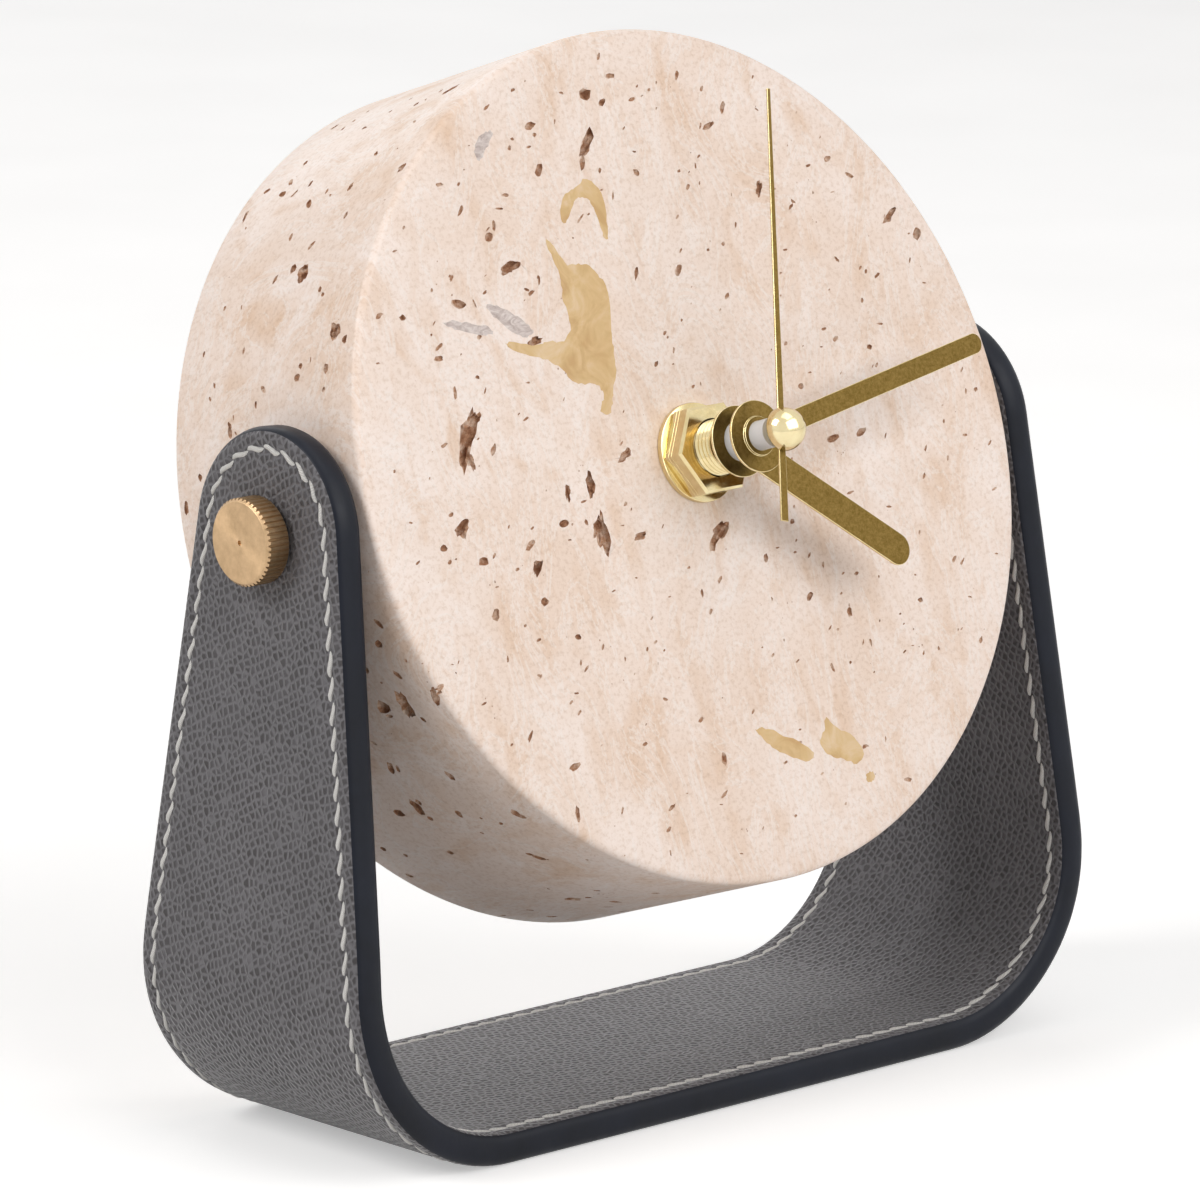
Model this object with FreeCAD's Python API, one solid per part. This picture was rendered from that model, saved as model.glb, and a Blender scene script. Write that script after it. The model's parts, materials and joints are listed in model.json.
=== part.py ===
import FreeCAD, Part
import math
import os

# Tilting desk clock: a round travertine block with a quartz movement in its back,
# pivoted on two thumb screws in a U-shaped strap stand of leather over a steel core.
# Frame: origin under the middle of the stand on the table, +X to the clock's right as
# seen from the front, front towards -Y, +Z up. Millimetres.

Vector = FreeCAD.Vector
UP = Vector(0, 0, 1)

# ---- stand ----
pivot_height = 86.75
arm_lean_deg = 3.58
outer_half_width = 70.0
outer_width_height = 22.0
bend_radius = 27.0
strap_half_depth = 23.8
arm_top_radius = 14.9
taper_start_height = 23.0
leather_thickness = 1.2
core_thickness = 2.2
core_inset = 5.0
screw_hole_radius = 2.75

# ---- stone block ----
disc_radius = 60.0
disc_thickness = 40.0
rim_round = 1.0
pivot_behind_front = 15.1
tilt_back_deg = 18.64
pocket_side = 60.0
pocket_corner = 6.0
web_thickness = 6.5
shaft_bore_radius = 4.6
spot_face_radius = 8.0
spot_face_depth = 0.6

# ---- pivots ----
insert_radius = 4.0
insert_length = 13.5
insert_bore_radius = 2.55
stud_radius = 2.5
stud_reach = 50.0
head_radius = 6.0
head_inner = 66.4
head_outer = 70.4
head_ridges = 48
ridge_depth = 0.25
washer_outer_radius = 7.0
washer_face = 60.75

# ---- movement case ----
case_side = 56.0
case_depth = 16.0
case_wall = 1.2
seal_thickness = 0.8
battery_radius = 7.1
battery_length = 49.5
battery_nub = 1.0
battery_y = -19.0
running_gap = 0.05

# ---- shaft stack, measured forward from the stone's front face ----
bushing_radius = 3.9
bushing_front = 8.7
thread_pitch = 0.75
thread_depth = 0.35
hour_pipe_radius = 2.8
hour_pipe_front = 12.5
minute_pipe_radius = 2.05
minute_pipe_front = 16.3
second_shaft_radius = 0.85
washer_thickness = 0.9
nut_flats = 12.0
nut_height = 3.5
hour_plate_front = 9.3
minute_plate_front = 13.2
second_plate_front = 18.0
plate_thickness = 0.4
cap_radius = 3.0

# ---- hands: clockwise angle from twelve, length, width ----
hour_hand_angle = 127.0
hour_hand_length = 33.3
hour_hand_width = 4.6
minute_hand_angle = 80.5
minute_hand_length = 46.3
minute_hand_width = 2.9
second_hand_angle = 14.0
second_hand_length = 48.0
second_tail_length = 12.7
second_tail_width = 1.3
second_tip_width = 0.55
hand_eye_radius = 5.0

# ---- gear train: centre distances, tooth counts ----
train_distance = 9.0
rotor_distance = 6.16
motion_distance = 7.2
second_wheel_teeth = 60
second_pinion_teeth = 10
third_wheel_teeth = 75
third_pinion_teeth = 10
centre_wheel_teeth = 80
intermediate_wheel_teeth = 48
intermediate_pinion_teeth = 12
rotor_pinion_teeth = 8
cannon_pinion_teeth = 12
minute_work_wheel_teeth = 36
minute_work_pinion_teeth = 10
hour_wheel_teeth = 40
setting_pinion_teeth = 12
third_direction = 180.0
intermediate_direction = 90.0
rotor_direction = 80.0
motion_direction = 0.0
setting_direction = 30.0
wheel_thickness = 0.8
pinion_overhang = 0.1
arbor_radius = 0.5
hub_radius = 0.8
pivot_radius = 0.3
pivot_length = 0.6
motion_post_radius = 0.6
setting_stem_radius = 1.1
setting_knob_radius = 5.0
setting_knob_ridges = 24

# ---- depths of the wheels behind the stone's front face ----
hour_wheel_z = -10.1
minute_work_z = -11.6
centre_wheel_z = -13.0
third_wheel_z = -14.5
second_wheel_z = -16.1
intermediate_wheel_z = -17.6
rotor_magnet_z = -21.0
rotor_magnet_height = 2.7
rotor_magnet_radius = 3.0

# ---- derived places in the head's own frame (z forward, y up the face) ----
case_front = -(web_thickness + seal_thickness)
case_back = case_front - case_depth
case_split = case_front - case_depth / 2
inner_front = case_front - case_wall
inner_back = case_back + case_wall
inner_half = case_side / 2 - case_wall
battery_z = case_back + battery_radius + 0.3
battery_wall_y = battery_y + battery_radius + 1.3


def polar(distance, degrees, origin=(0.0, 0.0)):
    """Point at a distance and direction from an origin in the dial plane."""
    angle = math.radians(degrees)
    return (origin[0] + distance * math.cos(angle), origin[1] + distance * math.sin(angle))


third_axis = polar(train_distance, third_direction)
intermediate_axis = polar(train_distance, intermediate_direction)
rotor_axis = polar(rotor_distance, rotor_direction, intermediate_axis)
motion_axis = polar(motion_distance, motion_direction)
setting_axis = polar(motion_distance, setting_direction, motion_axis)


# ---- helpers ----
def in_head_frame(shape):
    """Carry a shape from the head's own frame into the standing object's frame."""
    placed = shape.copy()
    placed.translate(Vector(0, 0, pivot_behind_front))
    placed.rotate(Vector(0, 0, 0), Vector(1, 0, 0), 90 - tilt_back_deg)
    placed.translate(Vector(0, 0, pivot_height))
    return placed


def save(node, shape):
    """Write one node's solids to its STEP file."""
    shape.exportStep("parts/" + node + ".step")
    print(node, round(shape.Volume, 1), len(shape.Solids))


def rod(radius, low, high, at=(0.0, 0.0)):
    """Cylinder along z between two heights."""
    return Part.makeCylinder(radius, high - low, Vector(at[0], at[1], low), UP)


def ring(outer, inner, low, high, at=(0.0, 0.0)):
    """Tube along z between two heights."""
    return rod(outer, low, high, at).cut(rod(inner, low - 1, high + 1, at))


def block(x_low, x_high, y_low, y_high, z_low, z_high):
    """Box between two corners."""
    size = (x_high - x_low, y_high - y_low, z_high - z_low)
    return Part.makeBox(size[0], size[1], size[2], Vector(x_low, y_low, z_low))


def prism(points, low, high):
    """Upright prism on a polygon in the dial plane."""
    corners = [Vector(x, y, low) for x, y in points]
    face = Part.Face(Part.makePolygon(corners + corners[:1]))
    return face.extrude(Vector(0, 0, high - low))


def turned(profile):
    """Solid of revolution about z from (radius, z) points."""
    corners = [Vector(radius, 0, z) for radius, z in profile]
    face = Part.Face(Part.makePolygon(corners + corners[:1]))
    return face.revolve(Vector(0, 0, 0), UP, 360)


def along_x(shape, side):
    """Lay a shape modelled about +z onto the pivot line, pointing to one side."""
    laid = shape.copy()
    laid.rotate(Vector(0, 0, 0), Vector(0, 1, 0), 90 * side)
    laid.translate(Vector(0, 0, pivot_height))
    return laid


# ---- strap stand ----
def strap_profile(depth_low, depth_high):
    """U-shaped section in the XZ plane between two depths below the outer surface."""
    lean = math.radians(arm_lean_deg)
    centre_x = (
        outer_half_width
        - bend_radius / math.cos(lean)
        - math.tan(lean) * (bend_radius - outer_width_height)
    )
    reach = 90.0

    def half_path(depth, side):
        radius = bend_radius - depth
        start = Vector(0, 0, depth)
        foot = Vector(side * centre_x, 0, depth)
        middle_angle = (lean - math.pi / 2) / 2
        middle = Vector(
            side * (centre_x + radius * math.cos(middle_angle)),
            0,
            bend_radius + radius * math.sin(middle_angle),
        )
        shoulder = Vector(
            side * (centre_x + radius * math.cos(lean)),
            0,
            bend_radius + radius * math.sin(lean),
        )
        top = shoulder + Vector(-side * reach * math.sin(lean), 0, reach * math.cos(lean))
        return [start, foot, middle, shoulder, top]

    edges = []
    ends = []
    for depth in (depth_low, depth_high):
        tops = []
        for side in (-1, 1):
            start, foot, middle, shoulder, top = half_path(depth, side)
            edges.append(Part.makeLine(start, foot))
            edges.append(Part.Arc(foot, middle, shoulder).toShape())
            edges.append(Part.makeLine(shoulder, top))
            tops.append(top)
        ends.append(tops)
    for side in (0, 1):
        edges.append(Part.makeLine(ends[0][side], ends[1][side]))
    wire = Part.Wire(Part.__sortEdges__(edges))
    return Part.Face(wire)


def strap_outline(inset):
    """Solid along X whose YZ outline is the strap seen from the side, drawn in by an inset."""
    half = strap_half_depth - inset
    radius = arm_top_radius - inset
    rise = pivot_height - taper_start_height
    # the tangent from the corner to the round top leans by `lean` from the vertical
    distance = math.hypot(half, rise)
    lean = math.atan2(half, rise) - math.asin(radius / distance)
    contact = Vector(0, radius * math.cos(lean), pivot_height + radius * math.sin(lean))
    ease = 11.0
    corner = Vector(0, half, taper_start_height)
    ease_low = corner - Vector(0, 0, ease)
    ease_high = corner + Vector(0, -ease * math.sin(lean), ease * math.cos(lean))
    ease_radius = ease / math.tan(lean / 2)
    ease_middle = Vector(
        0,
        half - ease_radius * (1 - math.cos(lean / 2)),
        ease_low.z + ease_radius * math.sin(lean / 2),
    )
    crown = Vector(0, 0, pivot_height + radius)

    def mirrored(point):
        return Vector(0, -point.y, point.z)

    foot = Vector(0, half, -1)
    edges = [
        Part.makeLine(foot, ease_low),
        Part.Arc(ease_low, ease_middle, ease_high).toShape(),
        Part.makeLine(ease_high, contact),
        Part.Arc(contact, crown, mirrored(contact)).toShape(),
        Part.makeLine(mirrored(contact), mirrored(ease_high)),
        Part.Arc(mirrored(ease_high), mirrored(ease_middle), mirrored(ease_low)).toShape(),
        Part.makeLine(mirrored(ease_low), mirrored(foot)),
        Part.makeLine(mirrored(foot), foot),
    ]
    face = Part.Face(Part.Wire(edges))
    outline = face.extrude(Vector(200, 0, 0))
    outline.translate(Vector(-100, 0, 0))
    return outline


def strap_layer(depth_low, depth_high, inset):
    """One layer of the strap, cut to the outline and drilled for the thumb screws."""
    sheet = strap_profile(depth_low, depth_high).extrude(Vector(0, 80, 0))
    sheet.translate(Vector(0, -40, 0))
    layer = sheet.common(strap_outline(inset))
    drill = Part.makeCylinder(
        screw_hole_radius, 200, Vector(-100, 0, pivot_height), Vector(1, 0, 0)
    )
    return layer.cut(drill)


def build_stand():
    core_low = leather_thickness
    core_high = leather_thickness + core_thickness
    core = strap_layer(core_low, core_high, core_inset)
    save("strap_outer_leather", strap_layer(0, core_low, 0))
    save("strap_steel_core", core)
    save("strap_edge_filler", strap_layer(core_low, core_high, 0).cut(core))
    save("strap_inner_leather", strap_layer(core_high, core_high + leather_thickness, 0))


# ---- stone block and its pivots ----
def build_stone():
    block_solid = rod(disc_radius, -disc_thickness, 0)
    block_solid = block_solid.makeFillet(rim_round, [
        edge for edge in block_solid.Edges
        if isinstance(edge.Curve, Part.Circle)
    ])
    half = pocket_side / 2
    pocket = block(-half, half, -half, half, -disc_thickness - 1, -web_thickness)
    upright = [
        edge for edge in pocket.Edges
        if abs(edge.Vertexes[0].Z - edge.Vertexes[-1].Z) > 1
    ]
    pocket = pocket.makeFillet(pocket_corner, upright)
    block_solid = block_solid.cut(pocket)
    block_solid = block_solid.cut(rod(shaft_bore_radius, -disc_thickness, 1))
    stone = in_head_frame(block_solid)
    for side in (-1, 1):
        face = disc_radius - spot_face_depth
        stone = stone.cut(along_x(rod(spot_face_radius, face, disc_radius + 5), side))
        stone = stone.cut(along_x(rod(insert_radius, face - insert_length, disc_radius), side))
    save("stone_block", stone)


def thumb_screw_head():
    """Straight-knurled head: ridged outline with its two rims chamfered."""
    outline = []
    for ridge in range(head_ridges):
        for share, radius in (
            (-0.22, head_radius),
            (0.22, head_radius),
            (0.38, head_radius - ridge_depth),
            (0.62, head_radius - ridge_depth),
        ):
            outline.append(polar(radius, (ridge + share) * 360 / head_ridges))
    chamfer = 0.45
    envelope = turned([
        (0, head_inner),
        (head_radius - chamfer, head_inner),
        (head_radius, head_inner + chamfer),
        (head_radius, head_outer - chamfer),
        (head_radius - chamfer, head_outer),
        (0, head_outer),
    ])
    return prism(outline, head_inner, head_outer).common(envelope)


def build_pivots():
    seat = disc_radius - spot_face_depth
    insert = ring(insert_radius, insert_bore_radius, seat - insert_length, seat)
    insert = insert.cut(ring(insert_radius + 1, insert_radius - 0.4, seat - 8, seat - 6.5))
    washer = ring(washer_outer_radius, screw_hole_radius, seat, washer_face)
    screw = thumb_screw_head().fuse(rod(stud_radius, stud_reach, head_inner))
    dimple = rod(0.35, head_outer - 0.3, head_outer + 1)
    screw = screw.cut(dimple)
    for side, name in ((-1, "left"), (1, "right")):
        save("pivot_insert_" + name, along_x(insert, side))
        save("pivot_washer_" + name, along_x(washer, side))
        save("thumb_screw_" + name, along_x(screw, side))


# ---- gears ----
def gear(teeth, module, low, high, at, tooth_angle):
    """Toothed disc with straight-flanked teeth, one of them centred on tooth_angle."""
    pitch_radius = teeth * module / 2
    tip = pitch_radius + 0.75 * module
    root = pitch_radius - 1.05 * module
    pitch = 360 / teeth
    outline = []
    for tooth in range(teeth):
        middle = tooth_angle + tooth * pitch
        for share, radius in ((-0.27, root), (-0.10, tip), (0.10, tip), (0.27, root)):
            outline.append(polar(radius, middle + share * pitch, at))
    return prism(outline, low, high)


def wheel(teeth, module, base, at, tooth_angle):
    """Gear of a wheel's thickness standing on a depth."""
    return gear(teeth, module, base, base + wheel_thickness, at, tooth_angle)


def pinion(teeth, module, base, at, tooth_angle):
    """Pinion that overhangs the wheel it drives, at that wheel's depth."""
    low = base - pinion_overhang
    high = base + wheel_thickness + pinion_overhang
    return gear(teeth, module, low, high, at, tooth_angle)


def module_for(distance, teeth_a, teeth_b):
    """Module of a pair of gears at a centre distance."""
    return 2 * distance / (teeth_a + teeth_b)


def mating_angle(direction, teeth):
    """Tooth angle of a gear whose space faces the tooth that its partner points at it."""
    return direction + 180 + 180 / teeth


def arbor(low, high, at):
    """Wheel shaft with a fine pivot at each end, running in the two halves of the case."""
    shaft = rod(arbor_radius, low, high, at)
    shaft = shaft.fuse(rod(pivot_radius, inner_back - pivot_length, low, at))
    return shaft.fuse(rod(pivot_radius, high, inner_front + pivot_length, at))


def build_gears():
    """Every wheel of the train, from the rotor to the hour wheel, and the setting knob."""
    second_module = module_for(train_distance, second_wheel_teeth, intermediate_pinion_teeth)
    third_module = module_for(train_distance, second_pinion_teeth, third_wheel_teeth)
    centre_module = module_for(train_distance, third_pinion_teeth, centre_wheel_teeth)
    rotor_module = module_for(rotor_distance, rotor_pinion_teeth, intermediate_wheel_teeth)
    motion_module = module_for(motion_distance, cannon_pinion_teeth, minute_work_wheel_teeth)
    hour_module = module_for(motion_distance, minute_work_pinion_teeth, hour_wheel_teeth)
    centre = (0.0, 0.0)
    shaft_low = inner_back + 0.5
    shaft_high = inner_front - 0.4

    second = wheel(second_wheel_teeth, second_module, second_wheel_z, centre,
                   intermediate_direction)
    second = second.fuse(pinion(second_pinion_teeth, third_module, third_wheel_z, centre,
                                third_direction))
    second = second.fuse(rod(arbor_radius, shaft_low, third_wheel_z + 1.2))
    second = second.fuse(rod(pivot_radius, inner_back - pivot_length, shaft_low))
    second = second.fuse(rod(second_shaft_radius, third_wheel_z + 1.2, second_plate_front + 1.0))
    save("second_wheel", in_head_frame(second))

    third = wheel(third_wheel_teeth, third_module, third_wheel_z, third_axis,
                  mating_angle(third_direction, third_wheel_teeth))
    third = third.fuse(pinion(third_pinion_teeth, centre_module, centre_wheel_z, third_axis,
                              mating_angle(third_direction, third_pinion_teeth)))
    third = third.fuse(arbor(shaft_low, shaft_high, third_axis))
    third = third.fuse(rod(hub_radius, third_wheel_z, centre_wheel_z, third_axis))
    save("third_wheel", in_head_frame(third))

    intermediate = pinion(intermediate_pinion_teeth, second_module, second_wheel_z,
                          intermediate_axis,
                          mating_angle(intermediate_direction, intermediate_pinion_teeth))
    intermediate = intermediate.fuse(
        wheel(intermediate_wheel_teeth, rotor_module, intermediate_wheel_z,
              intermediate_axis, rotor_direction))
    intermediate = intermediate.fuse(arbor(shaft_low, shaft_high, intermediate_axis))
    intermediate = intermediate.fuse(
        rod(hub_radius, intermediate_wheel_z, second_wheel_z, intermediate_axis))
    save("intermediate_wheel", in_head_frame(intermediate))

    rotor = pinion(rotor_pinion_teeth, rotor_module, intermediate_wheel_z, rotor_axis,
                   mating_angle(rotor_direction, rotor_pinion_teeth))
    rotor = rotor.fuse(arbor(shaft_low, shaft_high, rotor_axis))
    save("rotor_pinion", in_head_frame(rotor))
    magnet = ring(rotor_magnet_radius, arbor_radius, rotor_magnet_z,
                  rotor_magnet_z + rotor_magnet_height, rotor_axis)
    save("rotor_magnet", in_head_frame(magnet))

    minute = wheel(centre_wheel_teeth, centre_module, centre_wheel_z, centre, third_direction)
    minute = minute.fuse(pinion(cannon_pinion_teeth, motion_module, minute_work_z, centre,
                                motion_direction))
    minute = minute.fuse(rod(1.35, centre_wheel_z, minute_work_z + 1.2))
    minute = minute.fuse(rod(minute_pipe_radius, minute_work_z + 1.2, minute_pipe_front))
    minute = minute.cut(rod(second_shaft_radius + running_gap, centre_wheel_z - 1, 20))
    save("centre_wheel", in_head_frame(minute))

    work = wheel(minute_work_wheel_teeth, motion_module, minute_work_z, motion_axis,
                 mating_angle(motion_direction, minute_work_wheel_teeth))
    work = work.fuse(gear(minute_work_pinion_teeth, hour_module, minute_work_z + 0.7,
                          hour_wheel_z + 1.1, motion_axis,
                          mating_angle(motion_direction, minute_work_pinion_teeth)))
    work = work.cut(rod(motion_post_radius + running_gap, minute_work_z - 1,
                        hour_wheel_z + 2, motion_axis))
    save("minute_work_wheel", in_head_frame(work))

    hour = gear(hour_wheel_teeth, hour_module, hour_wheel_z, hour_wheel_z + 1.0,
                centre, motion_direction)
    hour = hour.fuse(rod(hour_pipe_radius, hour_wheel_z, hour_pipe_front))
    hour = hour.cut(rod(minute_pipe_radius + running_gap, hour_wheel_z - 1, 20))
    save("hour_wheel", in_head_frame(hour))

    # the setting pinion's space meets whichever tooth the minute-work wheel turns to it
    work_pitch = 360 / minute_work_wheel_teeth
    work_tooth = mating_angle(motion_direction, minute_work_wheel_teeth)
    offset = (setting_direction - work_tooth) % work_pitch
    setting_tooth = (
        mating_angle(setting_direction, setting_pinion_teeth)
        + offset * minute_work_wheel_teeth / setting_pinion_teeth
    )
    knob = pinion(setting_pinion_teeth, motion_module, minute_work_z, setting_axis,
                  setting_tooth)
    knob = knob.fuse(rod(setting_stem_radius, case_back - 0.6,
                         minute_work_z - pinion_overhang, setting_axis))
    knob = knob.fuse(rod(pivot_radius, minute_work_z + 0.9, inner_front + pivot_length,
                         setting_axis))
    rim = []
    valley = setting_knob_radius - 0.3
    for ridge in range(setting_knob_ridges):
        for share, radius in ((-0.25, setting_knob_radius), (0.25, setting_knob_radius),
                              (0.5, valley)):
            rim.append(polar(radius, (ridge + share) * 360 / setting_knob_ridges, setting_axis))
    knob = knob.fuse(prism(rim, case_back - 2.4, case_back - 0.3))
    save("setting_knob", in_head_frame(knob))


# ---- hands ----
def hand_blade(length, width, angle, low, high):
    """Parallel blade with a round tip, pointing clockwise from twelve by an angle."""
    blade = block(-width / 2, width / 2, 0, length - width / 2, low, high)
    blade = blade.fuse(rod(width / 2, low, high, (0, length - width / 2)))
    blade.rotate(Vector(0, 0, 0), UP, -angle)
    return blade


def build_hands():
    hour_low = hour_plate_front - plate_thickness
    hour = hand_blade(hour_hand_length, hour_hand_width, hour_hand_angle,
                      hour_low, hour_plate_front)
    hour = hour.fuse(rod(hand_eye_radius, hour_low, hour_plate_front))
    hour = hour.cut(rod(hour_pipe_radius, 0, 20))
    save("hour_hand", in_head_frame(hour))

    minute_low = minute_plate_front - plate_thickness
    minute = hand_blade(minute_hand_length, minute_hand_width, minute_hand_angle,
                        minute_low, minute_plate_front)
    minute = minute.fuse(rod(hand_eye_radius, minute_low, minute_plate_front))
    minute = minute.fuse(rod(2.75, minute_low, minute_plate_front + 0.35))
    minute = minute.cut(rod(minute_pipe_radius, 0, 20))
    save("minute_hand", in_head_frame(minute))

    second_low = second_plate_front - 0.3
    needle = prism(
        [
            (-second_tail_width / 2, -second_tail_length),
            (second_tail_width / 2, -second_tail_length),
            (second_tip_width / 2, second_hand_length),
            (-second_tip_width / 2, second_hand_length),
        ],
        second_low,
        second_plate_front,
    )
    needle.rotate(Vector(0, 0, 0), UP, -second_hand_angle)
    needle = needle.fuse(rod(1.7, second_low, second_plate_front))
    needle = needle.fuse(rod(1.15, minute_pipe_front + 0.15, second_low))
    needle = needle.cut(rod(second_shaft_radius, 0, 30))
    save("second_hand", in_head_frame(needle))

    rim = second_plate_front + 0.5
    dome = Part.makeSphere(cap_radius, Vector(0, 0, rim))
    dome = dome.common(rod(cap_radius + 1, rim, rim + cap_radius + 1))
    dome = dome.fuse(rod(cap_radius, second_plate_front, rim))
    dome = dome.cut(rod(second_shaft_radius, second_plate_front - 1, second_plate_front + 1.0))
    save("second_hand_cap", in_head_frame(dome))


# ---- fixing of the movement in the stone ----
def build_fixing():
    crest = bushing_radius
    valley = bushing_radius - thread_depth
    profile = [(hour_pipe_radius + running_gap, inner_front), (crest, inner_front),
               (crest, case_front + 1.0)]
    start = case_front + 1.0
    turns = int((bushing_front - 0.3 - start) / thread_pitch)
    for turn in range(turns):
        base = start + turn * thread_pitch
        profile.append((valley, base + thread_pitch / 2))
        profile.append((crest, base + thread_pitch))
    profile.append((valley, bushing_front))
    profile.append((hour_pipe_radius + running_gap, bushing_front))
    save("threaded_bushing", in_head_frame(turned(profile)))
    save("rubber_seal", in_head_frame(ring(9.0, bushing_radius, case_front, -web_thickness)))
    save("brass_washer", in_head_frame(ring(7.0, bushing_radius, 0, washer_thickness)))

    low = washer_thickness
    high = low + nut_height
    corner = nut_flats / math.sqrt(3)
    # two of the flats face left and right
    hexagon = [polar(corner, 60 * side + 30) for side in range(6)]
    chamfer = 0.45
    envelope = turned([
        (0, low),
        (corner - chamfer * 2, low),
        (corner, low + chamfer),
        (corner, high - chamfer),
        (corner - chamfer * 2, high),
        (0, high),
    ])
    nut = prism(hexagon, low, high).common(envelope)
    nut = nut.cut(rod(bushing_radius, low - 1, high + 1))
    save("hex_nut", in_head_frame(nut))


# ---- movement ----
def pivot_holes():
    """Blind holes for the fine pivots of every arbor, in both case walls."""
    holes = []
    depth = pivot_length + 0.2
    for axis in ((0.0, 0.0), third_axis, intermediate_axis, rotor_axis):
        holes.append(rod(pivot_radius + running_gap, inner_back - depth, inner_back + 1, axis))
    for axis in (third_axis, intermediate_axis, rotor_axis, setting_axis):
        holes.append(rod(pivot_radius + running_gap, inner_front - 1, inner_front + depth, axis))
    return holes


def build_case():
    half = case_side / 2
    corner = 3.0
    shell = block(-half, half, -half, half, case_back, case_front)
    upright = [
        edge for edge in shell.Edges
        if abs(edge.Vertexes[0].Z - edge.Vertexes[-1].Z) > 1
    ]
    shell = shell.makeFillet(corner, upright)
    train_room = block(-inner_half, inner_half, battery_wall_y, inner_half,
                       inner_back, inner_front)
    battery_room = block(-inner_half, inner_half, -inner_half, battery_wall_y - 1.0,
                         inner_back, inner_front)
    shell = shell.cut(train_room).cut(battery_room)
    battery_door = block(-25.4, 25.4, battery_y - battery_radius - 0.3,
                         battery_y + battery_radius + 0.2, case_back - 1, inner_back + 1)
    shell = shell.cut(battery_door)
    shell = shell.cut(rod(bushing_radius, inner_front - 1, case_front + 1))
    shell = shell.cut(rod(setting_stem_radius + running_gap, case_back - 1, inner_back + 1,
                          setting_axis))
    for hole in pivot_holes():
        shell = shell.cut(hole)
    front_half = block(-half - 1, half + 1, -half - 1, half + 1, case_split, case_front + 1)
    front = shell.common(front_half)
    front = front.fuse(rod(motion_post_radius, minute_work_z - 0.3, inner_front, motion_axis))
    rear = shell.cut(front_half)
    save("movement_front_case", in_head_frame(front))
    save("movement_rear_case", in_head_frame(rear))


def build_motor():
    plate_z = rotor_magnet_z + 0.8
    plate = block(-15, 17, 10.3, 19.2, plate_z, plate_z + 1.0)
    plate = plate.fuse(block(-15, -12.2, 19.2, 25.5, plate_z, plate_z + 1.0))
    plate = plate.fuse(block(14.2, 17, 19.2, 25.5, plate_z, plate_z + 1.0))
    plate = plate.cut(rod(rotor_magnet_radius + 0.4, plate_z - 1, plate_z + 2, rotor_axis))
    save("stator_plate", in_head_frame(plate))
    core_low = plate_z + 1.0
    core_high = core_low + 1.0
    coil_y = 23.0
    middle_z = (core_low + core_high) / 2
    save("coil_core", in_head_frame(block(-15, 17, coil_y - 1.5, coil_y + 1.5,
                                          core_low, core_high)))
    core_slot = block(-20, 20, coil_y - 1.5, coil_y + 1.5, core_low, core_high)
    bobbin = block(-11.5, 13.5, coil_y - 2.2, coil_y + 2.2, middle_z - 1.2, middle_z + 1.2)
    for x_low in (-11.5, 12.7):
        bobbin = bobbin.fuse(block(x_low, x_low + 0.8, coil_y - 3.4, coil_y + 3.4,
                                   middle_z - 3.0, middle_z + 3.0))
    save("coil_bobbin", in_head_frame(bobbin.cut(core_slot)))
    winding = block(-10.7, 12.7, coil_y - 3.2, coil_y + 3.2, middle_z - 2.8, middle_z + 2.8)
    winding = winding.makeFillet(0.8, [
        edge for edge in winding.Edges
        if abs(edge.Vertexes[0].X - edge.Vertexes[-1].X) > 1
    ])
    winding = winding.cut(block(-11.5, 13.5, coil_y - 2.2, coil_y + 2.2,
                                middle_z - 1.2, middle_z + 1.2))
    save("coil_winding", in_head_frame(winding))


def build_electronics():
    board_low = -13.0
    board_high = -12.0
    board = block(-26.0, -17.6, 2.0, 19.0, board_low, board_high)
    save("circuit_board", in_head_frame(board))
    chip = rod(2.6, board_low - 1.0, board_low, (-21.8, 13.5))
    save("chip", in_head_frame(chip))
    crystal = Part.makeCylinder(1.0, 6.2, Vector(-21.8, 3.0, board_low - 1.0), Vector(0, 1, 0))
    save("quartz_crystal", in_head_frame(crystal))

    half = battery_length / 2
    left_end = -half - battery_nub / 2
    cell = Part.makeCylinder(battery_radius, battery_length,
                             Vector(left_end, battery_y, battery_z), Vector(1, 0, 0))
    cell = cell.fuse(Part.makeCylinder(2.6, battery_nub,
                                       Vector(left_end + battery_length, battery_y, battery_z),
                                       Vector(1, 0, 0)))
    save("battery_cell", in_head_frame(cell))
    for side, name in ((-1, "negative"), (1, "positive")):
        wall = side * inner_half
        plate = block(min(wall, wall - side * 0.3), max(wall, wall - side * 0.3),
                      battery_y - 4.5, battery_y + 4.5, battery_z - 4.5, battery_z + 4.5)
        reach = inner_half - 0.3 - (half + battery_nub / 2)
        button = Part.makeCylinder(2.0, reach, Vector(side * (inner_half - 0.3), battery_y,
                                                      battery_z), Vector(-side, 0, 0))
        save("battery_contact_" + name, in_head_frame(plate.fuse(button)))


os.makedirs("parts", exist_ok=True)
build_stand()
build_stone()
build_pivots()
build_gears()
build_hands()
build_fixing()
build_case()
build_motor()
build_electronics()
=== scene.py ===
import json
import math
import random

import bmesh
import bpy
from mathutils import Matrix, Vector, noise


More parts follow.
